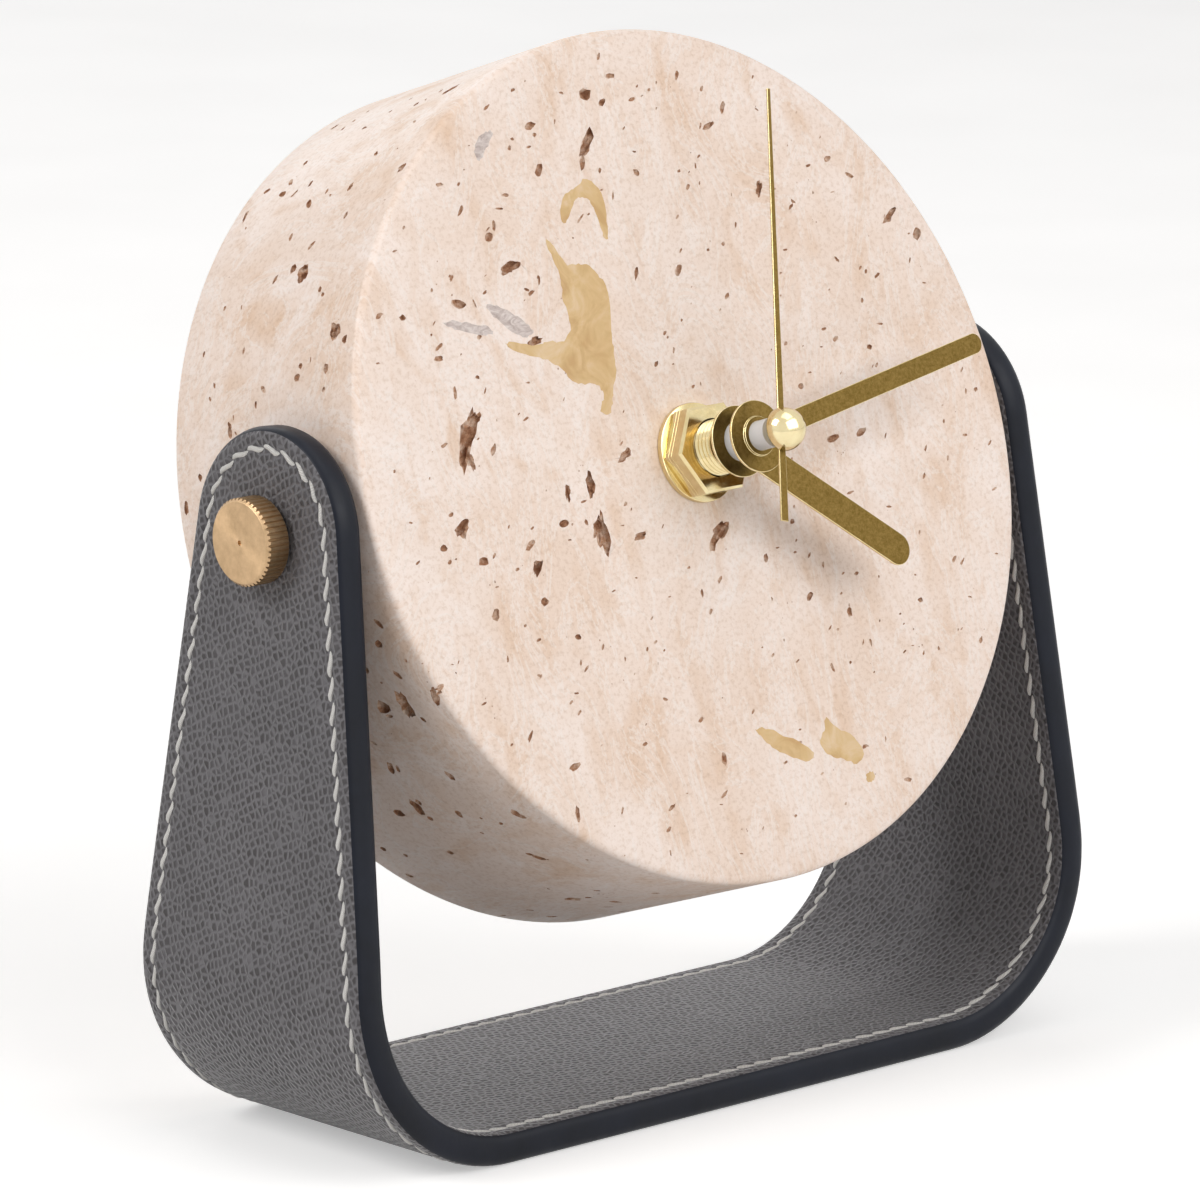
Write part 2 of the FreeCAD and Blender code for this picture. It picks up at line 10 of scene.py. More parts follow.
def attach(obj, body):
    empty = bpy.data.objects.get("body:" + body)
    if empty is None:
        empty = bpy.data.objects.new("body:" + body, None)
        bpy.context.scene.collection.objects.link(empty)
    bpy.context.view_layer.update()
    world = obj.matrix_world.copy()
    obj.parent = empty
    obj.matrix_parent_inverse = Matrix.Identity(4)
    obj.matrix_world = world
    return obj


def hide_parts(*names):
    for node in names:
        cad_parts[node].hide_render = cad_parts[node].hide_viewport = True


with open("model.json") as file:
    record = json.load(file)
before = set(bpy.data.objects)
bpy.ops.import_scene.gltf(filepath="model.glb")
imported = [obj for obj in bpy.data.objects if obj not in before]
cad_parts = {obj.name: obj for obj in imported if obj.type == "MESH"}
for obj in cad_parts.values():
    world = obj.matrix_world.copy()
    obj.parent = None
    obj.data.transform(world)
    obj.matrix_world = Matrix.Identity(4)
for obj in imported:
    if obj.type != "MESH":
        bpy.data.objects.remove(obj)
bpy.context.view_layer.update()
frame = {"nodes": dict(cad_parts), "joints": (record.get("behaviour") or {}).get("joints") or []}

mm = 0.001
nodes = frame["nodes"]
jointAt = {joint["name"]: joint for joint in frame["joints"]}

# the head's own frame: x right, y up the face, z forward from the stone's front face
pivot = Vector(jointAt["head_tilt"]["pos_m"])
forward = -Vector(jointAt["second_hand_turn"]["axis"]).normalized()
across = Vector((1, 0, 0))
upFace = forward.cross(across)
frontReach = max((v.co - pivot).dot(forward) for v in nodes["stone_block"].data.vertices)
headMatrix = Matrix.Translation(pivot + forward * frontReach) @ Matrix(
    (across, upFace, forward)).transposed().to_4x4()


# nodes and materials
def hexColor(code, alpha=1.0):
    levels = [int(code[i:i + 2], 16) / 255 for i in (0, 2, 4)]
    return tuple(c / 12.92 if c <= 0.04045 else ((c + 0.055) / 1.055) ** 2.4
                 for c in levels) + (alpha,)


def addNode(tree, kind, settings=None, values=None, links=None):
    node = tree.nodes.new(kind)
    for name, value in (settings or {}).items():
        setattr(node, name, value)
    for name, value in (values or {}).items():
        node.inputs[name].default_value = value
    for name, socket in (links or {}).items():
        tree.links.new(socket, node.inputs[name])
    return node


def newMaterial(name, **shaderValues):
    material = bpy.data.materials.new(name)
    material.use_nodes = True
    tree = material.node_tree
    shader = tree.nodes["Principled BSDF"]
    for key, value in shaderValues.items():
        shader.inputs[key.replace("_", " ")].default_value = value
    return material, tree, shader


def ramp(tree, source, stops, blend="LINEAR"):
    node = addNode(tree, "ShaderNodeValToRGB", links={"Fac": source})
    node.color_ramp.interpolation = blend
    elements = node.color_ramp.elements
    while len(elements) < len(stops):
        elements.new(0.5)
    for element, (place, color) in zip(elements, stops):
        element.position = place
        element.color = color if isinstance(color, tuple) else (color, color, color, 1)
    return node.outputs["Color"]


def feed(tree, socket, value):
    # a socket is linked, anything else is set
    if isinstance(value, bpy.types.NodeSocket):
        tree.links.new(value, socket)
    else:
        socket.default_value = value


def mixColor(tree, factor, first, second, blend="MIX"):
    # a colour mix keeps its factor, first and second colour at these input numbers
    node = addNode(tree, "ShaderNodeMix", {"data_type": "RGBA", "blend_type": blend})
    for number, value in ((0, factor), (6, first), (7, second)):
        feed(tree, node.inputs[number], value)
    return node.outputs[2]


def mathNode(tree, operation, first, second=0.0):
    node = addNode(tree, "ShaderNodeMath", {"operation": operation})
    for number, value in enumerate((first, second)):
        feed(tree, node.inputs[number], value)
    return node.outputs[0]


def headCoords(tree, scale=(1, 1, 1)):
    # object coordinates turned into the head's own frame, so a pattern follows the disc
    inverse = headMatrix.inverted()
    source = addNode(tree, "ShaderNodeTexCoord")
    turned = addNode(tree, "ShaderNodeMapping", {"vector_type": "POINT"}, {
        "Location": inverse.translation, "Rotation": inverse.to_euler()},
        {"Vector": source.outputs["Object"]})
    if tuple(scale) == (1, 1, 1):
        return turned.outputs["Vector"]
    stretched = addNode(tree, "ShaderNodeMapping", values={"Scale": scale},
                        links={"Vector": turned.outputs["Vector"]})
    return stretched.outputs["Vector"]


def objectCoords(tree):
    return addNode(tree, "ShaderNodeTexCoord").outputs["Object"]


def noiseOf(tree, vector, sizeMm, detail=3.0, roughness=0.55, distortion=0.0):
    # a noise whose lumps are about sizeMm across
    return addNode(tree, "ShaderNodeTexNoise", values={
        "Scale": 1 / (sizeMm * mm), "Detail": detail, "Roughness": roughness,
        "Distortion": distortion}, links={"Vector": vector}).outputs["Fac"]


def bumpOf(tree, shader, height, depthMm, strength=1.0):
    bump = addNode(tree, "ShaderNodeBump", values={"Strength": strength, "Distance": depthMm * mm},
                   links={"Height": height})
    tree.links.new(bump.outputs["Normal"], shader.inputs["Normal"])


# travertine, honed: warm cloudy bands with clear specks and tiny unfilled pores
travertine = {"pale": "F6E7DE", "body": "ECD6C6", "warm": "DDBB9D", "speck": "B08466",
              "cloudMm": 22, "bandMm": 7, "speckMm": 1.1}


def makeTravertine():
    material, tree, shader = newMaterial("honedTravertine", Roughness=0.42)
    shader.inputs["Specular IOR Level"].default_value = 0.4
    place = headCoords(tree)
    strata = headCoords(tree, (1.0, 0.45, 0.6))
    cloud = noiseOf(tree, place, travertine["cloudMm"], 4.0, 0.6, 0.6)
    band = noiseOf(tree, strata, travertine["bandMm"], 6.0, 0.62, 0.4)
    grain = noiseOf(tree, place, 0.7, 4.0, 0.7)
    base = mixColor(tree, ramp(tree, cloud, [(0.36, 0.0), (0.66, 1.0)]),
                    hexColor(travertine["body"]), hexColor(travertine["pale"]))
    warmth = ramp(tree, band, [(0.5, 0.0), (0.72, 0.75)])
    base = mixColor(tree, warmth, base, hexColor(travertine["warm"]))
    veins = ramp(tree, noiseOf(tree, strata, 11, 7.0, 0.7, 1.6),
                 [(0.47, 0.0), (0.5, 0.55), (0.53, 0.0)])
    base = mixColor(tree, veins, base, hexColor("F6ECE6"))
    fine = ramp(tree, grain, [(0.34, (0.86, 0.8, 0.74, 1)), (0.52, (1.03, 1.03, 1.03, 1))])
    base = mixColor(tree, 0.8, base, fine, "MULTIPLY")
    # pores too fine for the mesh: sparse dark specks, only inside porous drifts
    cells = addNode(tree, "ShaderNodeTexVoronoi", {"feature": "F1"}, {
        "Scale": 1 / (travertine["speckMm"] * mm), "Randomness": 1.0},
        {"Vector": headCoords(tree, (1.0, 1.0, 0.55))})
    drift = ramp(tree, noiseOf(tree, place, 9, 3.0, 0.6), [(0.5, 0.0), (0.66, 0.2)])
    wobble = mathNode(tree, "MULTIPLY", noiseOf(tree, place, 0.5, 2.0), 0.14)
    reach = mathNode(tree, "ADD", cells.outputs["Distance"], wobble)
    pore = mathNode(tree, "LESS_THAN", reach, drift)
    base = mixColor(tree, mathNode(tree, "MULTIPLY", pore, 0.8), base, hexColor(travertine["speck"]))
    tree.links.new(base, shader.inputs["Base Color"])
    rough = ramp(tree, band, [(0.3, 0.34), (0.7, 0.5)])
    tree.links.new(rough, shader.inputs["Roughness"])
    height = mathNode(tree, "SUBTRACT", mathNode(tree, "MULTIPLY", grain, 0.12), pore)
    bumpOf(tree, shader, height, 0.25, 0.7)
    return material


# the broken inside of a pore: rusty where iron settled, pale where calcite grew
def makePore():
    material, tree, shader = newMaterial("openPore", Roughness=0.85)
    place = headCoords(tree)
    rust = ramp(tree, noiseOf(tree, place, 1.6, 5.0, 0.7), [
        (0.32, hexColor("8A5B3E")), (0.48, hexColor("BD9070")), (0.64, hexColor("E8D0BC"))])
    tree.links.new(rust, shader.inputs["Base Color"])
    bumpOf(tree, shader, noiseOf(tree, place, 0.6, 5.0, 0.7), 0.3)
    return material


# honey-coloured polyester filler, polished flush: clearer and glossier than the stone
def makeResin():
    material, tree, shader = newMaterial("honeyResin", Roughness=0.22, IOR=1.55)
    shader.inputs["Subsurface Weight"].default_value = 0.15
    shader.inputs["Subsurface Radius"].default_value = (0.0012, 0.0008, 0.0004)
    place = headCoords(tree)
    tone = ramp(tree, noiseOf(tree, place, 5, 4.0, 0.6, 0.8), [
        (0.35, hexColor("CBA46C")), (0.5, hexColor("DBB984")), (0.7, hexColor("E6CBA4"))])
    tree.links.new(tone, shader.inputs["Base Color"])
    bumpOf(tree, shader, noiseOf(tree, place, 2.0, 2.0), 0.05, 0.4)
    return material


# grey crystalline calcite that healed a crack
def makeCalcite():
    material, tree, shader = newMaterial("greyCalcite", Roughness=0.35)
    place = headCoords(tree, (1.0, 2.2, 1.0))
    tone = ramp(tree, noiseOf(tree, place, 1.8, 5.0, 0.65, 1.0), [
        (0.36, hexColor("AE9C95")), (0.5, hexColor("C9BAB4")), (0.64, hexColor("E0D5CF"))])
    tree.links.new(tone, shader.inputs["Base Color"])
    bumpOf(tree, shader, noiseOf(tree, place, 0.8, 3.0), 0.08, 0.5)
    return material


# calf leather pressed with a cross grain: a pale raised net round darker rounded cells; the cells
# are darker by painted shade in the pits, with a random tone per cell
leatherGrain = {"cellMm": 1.18, "net": "6B696C", "cell": "3E3B3C", "depthMm": 0.16}


def makeLeather(name, netCode, shadedCellCode, stretch):
    material, tree, shader = newMaterial(name, Roughness=0.45)
    shader.inputs["Specular IOR Level"].default_value = 0.3
    shader.inputs["Sheen Weight"].default_value = 0.3
    shader.inputs["Sheen Roughness"].default_value = 0.35
    uv = addNode(tree, "ShaderNodeUVMap", {"uv_map": "leatherMap"}).outputs["UV"]
    turned = addNode(tree, "ShaderNodeMapping", values={
        "Rotation": (0, 0, math.radians(24)), "Scale": stretch}, links={"Vector": uv})
    wander = addNode(tree, "ShaderNodeTexNoise", values={
        "Scale": 1 / (3.5 * mm), "Detail": 2.0}, links={"Vector": turned.outputs["Vector"]})
    shift = addNode(tree, "ShaderNodeVectorMath", {"operation": "SCALE"}, {"Scale": 0.0009},
                    {"Vector": wander.outputs["Color"]})
    warped = addNode(tree, "ShaderNodeVectorMath", {"operation": "ADD"}, links={
        0: turned.outputs["Vector"], 1: shift.outputs["Vector"]})
    net = addNode(tree, "ShaderNodeTexVoronoi", {"feature": "DISTANCE_TO_EDGE"}, {
        "Scale": 1 / (leatherGrain["cellMm"] * mm), "Randomness": 0.62},
        {"Vector": warped.outputs["Vector"]})
    raised = ramp(tree, net.outputs["Distance"], [(0.03, 1.0), (0.3, 0.0)], "EASE")
    tone = noiseOf(tree, uv, 14, 3.0)
    cellTone = addNode(tree, "ShaderNodeTexVoronoi", {"feature": "F1"}, {
        "Scale": 1 / (leatherGrain["cellMm"] * mm), "Randomness": 0.62},
        {"Vector": warped.outputs["Vector"]})
    vary = addNode(tree, "ShaderNodeSeparateColor", links={"Color": cellTone.outputs["Color"]})
    cell = mixColor(tree, vary.outputs["Red"], hexColor(shadedCellCode), hexColor(netCode))
    cell = mixColor(tree, 0.6, cell, hexColor(shadedCellCode))
    # the sunken cells take the dark colour and the raised net the pale one: painted shade in the
    # pits
    base = mixColor(tree, raised, cell, hexColor(netCode))
    shade = ramp(tree, tone, [(0.3, (0.9, 0.9, 0.9, 1)), (0.7, (1.06, 1.06, 1.06, 1))])
    base = mixColor(tree, 1.0, base, shade, "MULTIPLY")
    tree.links.new(base, shader.inputs["Base Color"])
    tree.links.new(ramp(tree, raised, [(0, 0.6), (1, 0.42)]), shader.inputs["Roughness"])
    pucker = noiseOf(tree, uv, 0.25, 3.0, 0.6)
    height = mathNode(tree, "ADD", raised, mathNode(tree, "MULTIPLY", pucker, 0.25))
    bumpOf(tree, shader, height, leatherGrain["depthMm"], 0.9)
    return material


# acrylic edge paint, four coats burnished: navy black, satin, faintly rippled
def makeEdgePaint():
    material, tree, shader = newMaterial("burnishedEdgePaint", Roughness=0.45)
    shader.inputs["Specular IOR Level"].default_value = 0.2
    place = objectCoords(tree)
    tone = ramp(tree, noiseOf(tree, place, 9, 4.0, 0.6), [
        (0.3, hexColor("0E1119")), (0.7, hexColor("161A25"))])
    tree.links.new(tone, shader.inputs["Base Color"])
    tree.links.new(ramp(tree, noiseOf(tree, place, 3, 3.0), [(0.3, 0.36), (0.7, 0.5)]),
                   shader.inputs["Roughness"])
    bumpOf(tree, shader, noiseOf(tree, place, 1.4, 3.0), 0.05, 0.6)
    return material


# waxed linen thread, two plies: the twist runs along each stitch's own map, and the colour darkens
# into the grooves between plies as painted shade
def makeThread():
    material, tree, shader = newMaterial("waxedLinenThread", Roughness=0.7)
    shader.inputs["Sheen Weight"].default_value = 0.2
    uv = addNode(tree, "ShaderNodeUVMap", {"uv_map": "threadMap"}).outputs["UV"]
    turned = addNode(tree, "ShaderNodeMapping", values={"Rotation": (0, 0, math.radians(32))},
                     links={"Vector": uv})
    ply = addNode(tree, "ShaderNodeTexWave", {"wave_type": "BANDS"}, {
        "Scale": 1.1, "Distortion": 1.2, "Detail": 2.0}, {"Vector": turned.outputs["Vector"]})
    # darker where the ply bands sink in the bump: painted shade in the twist's grooves
    tone = ramp(tree, ply.outputs["Fac"], [(0.1, hexColor("CBC8C4")), (0.6, hexColor("F2F0EC"))])
    tree.links.new(tone, shader.inputs["Base Color"])
    bumpOf(tree, shader, ply.outputs["Fac"], 0.12, 0.8)
    return material


# turned brass, lacquered: fine rings from the facing cut, softer and browner than the hands
def makeTurnedBrass():
    material, tree, shader = newMaterial("facedBrass", Metallic=1.0, Roughness=0.4)
    place = objectCoords(tree)
    arm = addNode(tree, "ShaderNodeVectorMath", {"operation": "SUBTRACT"}, {1: pivot},
                  {0: place})
    flatArm = addNode(tree, "ShaderNodeVectorMath", {"operation": "MULTIPLY"}, {1: (0, 1, 1)},
                      {0: arm.outputs["Vector"]})
    reach = addNode(tree, "ShaderNodeVectorMath", {"operation": "LENGTH"},
                    links={0: flatArm.outputs["Vector"]}).outputs["Value"]
    rings = mathNode(tree, "SINE", mathNode(tree, "MULTIPLY", reach, 2 * math.pi / (0.16 * mm)))
    lay = addNode(tree, "ShaderNodeVectorMath", {"operation": "CROSS_PRODUCT"}, {1: (1, 0, 0)},
                  {0: flatArm.outputs["Vector"]})
    shader.inputs["Anisotropic"].default_value = 0.7
    tree.links.new(lay.outputs["Vector"], shader.inputs["Tangent"])
    tone = ramp(tree, noiseOf(tree, place, 2.2, 5.0, 0.7), [
        (0.3, hexColor("B39672")), (0.7, hexColor("D0B08A"))])
    tree.links.new(tone, shader.inputs["Base Color"])
    tree.links.new(ramp(tree, noiseOf(tree, place, 0.6, 3.0), [(0.3, 0.34), (0.7, 0.48)]),
                   shader.inputs["Roughness"])
    grain = mathNode(tree, "MULTIPLY", rings, 0.3)
    scuffs = noiseOf(tree, place, 0.3, 4.0, 0.7)
    bumpOf(tree, shader, mathNode(tree, "ADD", grain, scuffs), 0.02, 0.35)
    return material


# brass, buffed and gold plated
def makePolishedGold():
    material, tree, shader = newMaterial("buffedGoldPlate", Metallic=1.0, Roughness=0.12)
    place = objectCoords(tree)
    tone = ramp(tree, noiseOf(tree, place, 4, 3.0), [
        (0.3, hexColor("D8C28E")), (0.7, hexColor("EBDDB2"))])
    tree.links.new(tone, shader.inputs["Base Color"])
    tree.links.new(ramp(tree, noiseOf(tree, place, 0.8, 3.0), [(0.3, 0.1), (0.7, 0.2)]),
                   shader.inputs["Roughness"])
    bumpOf(tree, shader, noiseOf(tree, place, 0.5, 3.0), 0.01, 0.3)
    return material


# aluminium strip, brushed and anodised old gold, for the stamped hands
def makeHandGold():
    material, tree, shader = newMaterial("anodisedHandGold", Metallic=1.0, Roughness=0.4)
    place = headCoords(tree)
    tone = ramp(tree, noiseOf(tree, place, 0.5, 5.0, 0.75), [
        (0.3, hexColor("5C491D")), (0.7, hexColor("80693A"))])
    tree.links.new(tone, shader.inputs["Base Color"])
    tree.links.new(ramp(tree, noiseOf(tree, place, 0.5, 3.0), [(0.3, 0.34), (0.7, 0.46)]),
                   shader.inputs["Roughness"])
    bumpOf(tree, shader, noiseOf(tree, place, 0.35, 4.0, 0.7), 0.02, 0.4)
    return material


# the die-cut rim of a hand, bright where the shear burnished it
def makeHandRim():
    material, tree, shader = newMaterial("shearedHandRim", Metallic=1.0, Roughness=0.2)
    place = objectCoords(tree)
    tone = ramp(tree, noiseOf(tree, place, 1.5, 3.0), [
        (0.3, hexColor("D8C48A")), (0.7, hexColor("EEDFB4"))])
    tree.links.new(tone, shader.inputs["Base Color"])
    return material


def makePlastic(name, codes, roughness, pitMm, depthMm):
    # moulded plastic: the tool's fine spark texture, slightly uneven colour
    material, tree, shader = newMaterial(name, Roughness=roughness)
    place = objectCoords(tree)
    tone = ramp(tree, noiseOf(tree, place, 12, 3.0), [
        (0.3, hexColor(codes[0])), (0.7, hexColor(codes[1]))])
    tree.links.new(tone, shader.inputs["Base Color"])
    bumpOf(tree, shader, noiseOf(tree, place, pitMm, 3.0, 0.6), depthMm, 0.5)
    return material


def makeMetal(name, codes, roughness, grainMm):
    # rolled or drawn metal with a fine directional grain
    material, tree, shader = newMaterial(name, Metallic=1.0, Roughness=roughness)
    place = headCoords(tree, (0.1, 1.0, 1.0))
    grain = noiseOf(tree, place, grainMm, 4.0, 0.6)
    tree.links.new(ramp(tree, grain, [(0.3, hexColor(codes[0])), (0.7, hexColor(codes[1]))]),
                   shader.inputs["Base Color"])
    bumpOf(tree, shader, grain, 0.015, 0.4)
    return material


def makeCopper():
    # enamelled wire laid in even turns along the bobbin, darker in the grooves between turns as
    # painted shade
    material, tree, shader = newMaterial("enamelledCopper", Metallic=1.0, Roughness=0.32)
    wave = addNode(tree, "ShaderNodeTexWave", {"wave_type": "BANDS", "bands_direction": "X"}, {
        "Scale": 1 / (0.9 * mm), "Distortion": 0.3}, {"Vector": headCoords(tree)})
    # the dark stop falls where the bump sinks: painted shade between the turns
    tree.links.new(ramp(tree, wave.outputs["Fac"], [
        (0.2, hexColor("6E2F14")), (0.8, hexColor("C9713C"))]), shader.inputs["Base Color"])
    bumpOf(tree, shader, wave.outputs["Fac"], 0.08, 0.8)
    return material


print("stage: materials")
stone = makeTravertine()
pore = makePore()
resin = makeResin()
calcite = makeCalcite()
leather = makeLeather("crossGrainCalf", leatherGrain["net"], leatherGrain["cell"], (1, 1.15, 1))
edgePaint = makeEdgePaint()
thread = makeThread()
facedBrass = makeTurnedBrass()
goldPlate = makePolishedGold()
handGold = makeHandGold()
handRim = makeHandRim()
acetal = makePlastic("mouldedAcetal", ("DAD8D8", "E6E4E3"), 0.42, 0.5, 0.01)
nylon = makePlastic("mouldedNylon", ("DCD9D0", "E8E5DC"), 0.5, 0.4, 0.01)
blackAbs = makePlastic("sparkTexturedAbs", ("17181A", "1E1F22"), 0.5, 0.35, 0.04)
rubber = makePlastic("mouldedRubber", ("161616", "1F1E1E"), 0.75, 0.6, 0.03)
laminate = makePlastic("solderMaskedLaminate", ("14542B", "1B6636"), 0.35, 0.5, 0.01)
chipResin = makePlastic("pottedEpoxy", ("0C0C0D", "161617"), 0.25, 2.0, 0.05)
sleeve = makePlastic("shrunkBatterySleeve", ("3A3F45", "474D55"), 0.3, 3.0, 0.03)
steel = makeMetal("rolledSpringSteel", ("8C8D90", "A5A6A8"), 0.35, 0.4)
nickel = makeMetal("nickelPlatedStrip", ("B9B6B0", "D2CFC9"), 0.24, 0.5)
magnet = makeMetal("sinteredMagnet", ("3B3B3D", "555558"), 0.5, 0.3)
copper = makeCopper()

finishes = {
    "strap_steel_core": steel, "pivot_insert_left": facedBrass, "pivot_insert_right": facedBrass,
    "pivot_washer_left": nylon, "pivot_washer_right": nylon, "second_wheel": acetal,
    "third_wheel": acetal, "intermediate_wheel": acetal, "rotor_pinion": acetal,
    "rotor_magnet": magnet, "centre_wheel": acetal, "minute_work_wheel": acetal,
    "hour_wheel": acetal, "rubber_seal": rubber, "stator_plate": steel, "coil_core": steel,
    "coil_bobbin": acetal, "coil_winding": copper, "circuit_board": laminate, "chip": chipResin,
    "quartz_crystal": nickel, "battery_contact_negative": nickel,
    "battery_contact_positive": nickel, "movement_front_case": blackAbs,
}
for nodeName, finish in finishes.items():
    for slot in nodes[nodeName].material_slots:
        slot.material = finish


# building helpers
def finishPiece(bm, name, materials, body, replaced=(), sharpDeg=35):
    bmesh.ops.recalc_face_normals(bm, faces=bm.faces[:])
    return keepPiece(bm, name, materials, body, replaced, sharpDeg)


def keepPiece(bm, name, materials, body, replaced=(), sharpDeg=35):
    mesh = bpy.data.meshes.new(name)
    for face in bm.faces:
        face.smooth = True
    for edge in bm.edges:
        if len(edge.link_faces) == 2 and edge.calc_face_angle(0) > math.radians(sharpDeg):
            edge.smooth = False
    bm.to_mesh(mesh)
    bm.free()
    for material in materials:
        mesh.materials.append(material)
    piece = bpy.data.objects.new(name, mesh)
    bpy.context.scene.collection.objects.link(piece)
    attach(piece, body)
    if replaced:
        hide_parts(*replaced)
    return piece


def spinProfile(bm, profile, steps, closed=False):
    # a lathe about z: (radius, height) points in mm; an open profile starts and ends on the axis
    verts = [bm.verts.new((radius * mm, 0, height * mm)) for radius, height in profile]
    pairs = list(zip(verts, verts[1:]))
    if closed:
        pairs.append((verts[-1], verts[0]))
    edges = [bm.edges.new(pair) for pair in pairs]
    bmesh.ops.spin(bm, geom=verts + edges, cent=(0, 0, 0), axis=(0, 0, 1), dvec=(0, 0, 0),
                   angle=2 * math.pi, steps=steps, use_merge=True)
    bmesh.ops.remove_doubles(bm, verts=bm.verts[:], dist=0.002 * mm)


def polygonPrism(bm, points, low, high):
    # points in mm in the dial plane, heights in mm
    ring = [bm.verts.new((x * mm, y * mm, low * mm)) for x, y in points]
    face = bm.faces.new(ring)
    raised = bmesh.ops.extrude_face_region(bm, geom=[face])["geom"]
    bmesh.ops.translate(bm, verts=[g for g in raised if isinstance(g, bmesh.types.BMVert)],
                        vec=(0, 0, (high - low) * mm))


def bevelSharp(bm, widthMm, segments=2, minDeg=30):
    edges = [e for e in bm.edges if len(e.link_faces) == 2
             and e.calc_face_angle(0) > math.radians(minDeg)]
    bmesh.ops.bevel(bm, geom=edges, offset=widthMm * mm, segments=segments, profile=0.5,
                    affect="EDGES", material=-1, clamp_overlap=True)


def applyModifiers(piece):
    graph = bpy.context.evaluated_depsgraph_get()
    mesh = bpy.data.meshes.new_from_object(piece.evaluated_get(graph))
    piece.modifiers.clear()
    piece.data = mesh


# strap stand
strap = {"halfThick": 2.3, "flatHalf": 42.6, "bendRadius": 27.0, "leanDeg": 3.58,
         "halfDepth": 23.8, "topRadius": 14.9, "taperAt": 77.4, "pivotAt": 141.26,
         "ease": 11.0, "seamInset": 3.0, "seamHeight": 2.12, "bendStep": 1.5, "armStep": 7.0}
lean = math.radians(strap["leanDeg"])
midRadius = strap["bendRadius"] - strap["halfThick"]
bendTurn = math.pi / 2 + lean
bendLength = midRadius * bendTurn


def bendPoint(along, width, height):
    # flat strap coordinates in mm to the standing stand in metres
    side = 1 if along >= 0 else -1
    reach = abs(along)
    radius = midRadius + height
    if reach <= strap["flatHalf"]:
        x, z = reach, strap["bendRadius"] - radius
    else:
        turn = min((reach - strap["flatHalf"]) / midRadius, bendTurn)
        run = max(reach - strap["flatHalf"] - bendLength, 0)
        x = strap["flatHalf"] + radius * math.sin(turn) - run * math.sin(lean)
        z = strap["bendRadius"] - radius * math.cos(turn) + run * math.cos(lean)
    return Vector((side * x, width, z)) * mm


def strapOutline(inset, arcSteps=18):
    # half outline from the taper's start to the crown, then mirrored into a full loop
    half = strap["halfDepth"] - inset
    radius = strap["topRadius"] - inset
    rise = strap["pivotAt"] - strap["taperAt"]
    tilt = math.atan2(half, rise) - math.asin(radius / math.hypot(half, rise))
    easeRadius = strap["ease"] / math.tan(tilt / 2)
    quarter = []
    for step in range(7):
        turn = tilt * step / 6
        quarter.append((strap["taperAt"] - strap["ease"] + easeRadius * math.sin(turn),
                        half - easeRadius * (1 - math.cos(turn))))
    for step in range(arcSteps + 1):
        turn = tilt + (math.pi / 2 - tilt) * step / arcSteps
        quarter.append((strap["pivotAt"] + radius * math.sin(turn), radius * math.cos(turn)))
    right = quarter + [(s, -w) for s, w in reversed(quarter[:-1])]
    return right + [(-s, -w) for s, w in right]


def buildStrap():
    bm = bmesh.new()
    core = bm.faces.new([bm.verts.new((s, w, 0)) for s, w in strapOutline(0)])
    # each ring: distance in from the last one, height of its inner loop over the mid-plane
    rings = ((0.14, 1.0), (0.26, 1.66), (0.36, 2.06), (0.4, 2.22), (0.5, 2.28), (0.74, 2.28),
             (0.32, 2.17), (0.28, 2.08), (0.28, 2.17), (0.36, 2.28), (0.9, 2.3))
    paintedRings = 3
    for index, (inward, height) in enumerate(rings):
        made = bmesh.ops.inset_region(bm, faces=[core], thickness=inward, use_boundary=True,
                                      use_even_offset=True)["faces"]
        for face in made:
            face.material_index = 1 if index < paintedRings else 0
        bmesh.ops.translate(bm, verts=core.verts[:], vec=(0, 0, height - core.verts[0].co.z))
    under = bmesh.ops.duplicate(bm, geom=bm.verts[:] + bm.edges[:] + bm.faces[:])["geom"]
    underVerts = [g for g in under if isinstance(g, bmesh.types.BMVert)]
    bmesh.ops.scale(bm, vec=(1, 1, -1), verts=underVerts)
    bmesh.ops.reverse_faces(bm, faces=[g for g in under if isinstance(g, bmesh.types.BMFace)])
    bmesh.ops.remove_doubles(bm, verts=bm.verts[:], dist=0.01)
    stations = list(range(-40, 41, 10))
    bendEnd = strap["flatHalf"] + bendLength
    place = strap["flatHalf"]
    while place < bendEnd:
        stations += [place, -place]
        place += strap["bendStep"]
    while place < strap["pivotAt"] + strap["topRadius"] - 2:
        stations += [place, -place]
        place += strap["armStep"]
    for station in stations:
        bmesh.ops.bisect_plane(bm, geom=bm.verts[:] + bm.edges[:] + bm.faces[:], dist=0.02,
                               plane_co=(station, 0, 0), plane_no=(1, 0, 0))
    layer = bm.loops.layers.uv.new("leatherMap")
    for face in bm.faces:
        for loop in face.loops:
            point = loop.vert.co
            loop[layer].uv = (point.x * mm, point.y * mm + (0.2 if face.normal.z < 0 else 0))
    for vert in bm.verts:
        vert.co = bendPoint(*vert.co)
    return finishPiece(bm, "strapLeather", [leather, edgePaint], "stand",
                       ("strap_outer_leather", "strap_inner_leather", "strap_edge_filler"),
                       sharpDeg=60)


# each stitch is one waxed loop, sunk at both ends and leaning across the seam line
stitch = {"pitch": 3.35, "length": 3.9, "width": 0.8, "rise": 0.56, "leanDeg": 7,
          "around": 8, "rings": 8, "curve": 0.2, "dip": 0.8, "seed": 4}


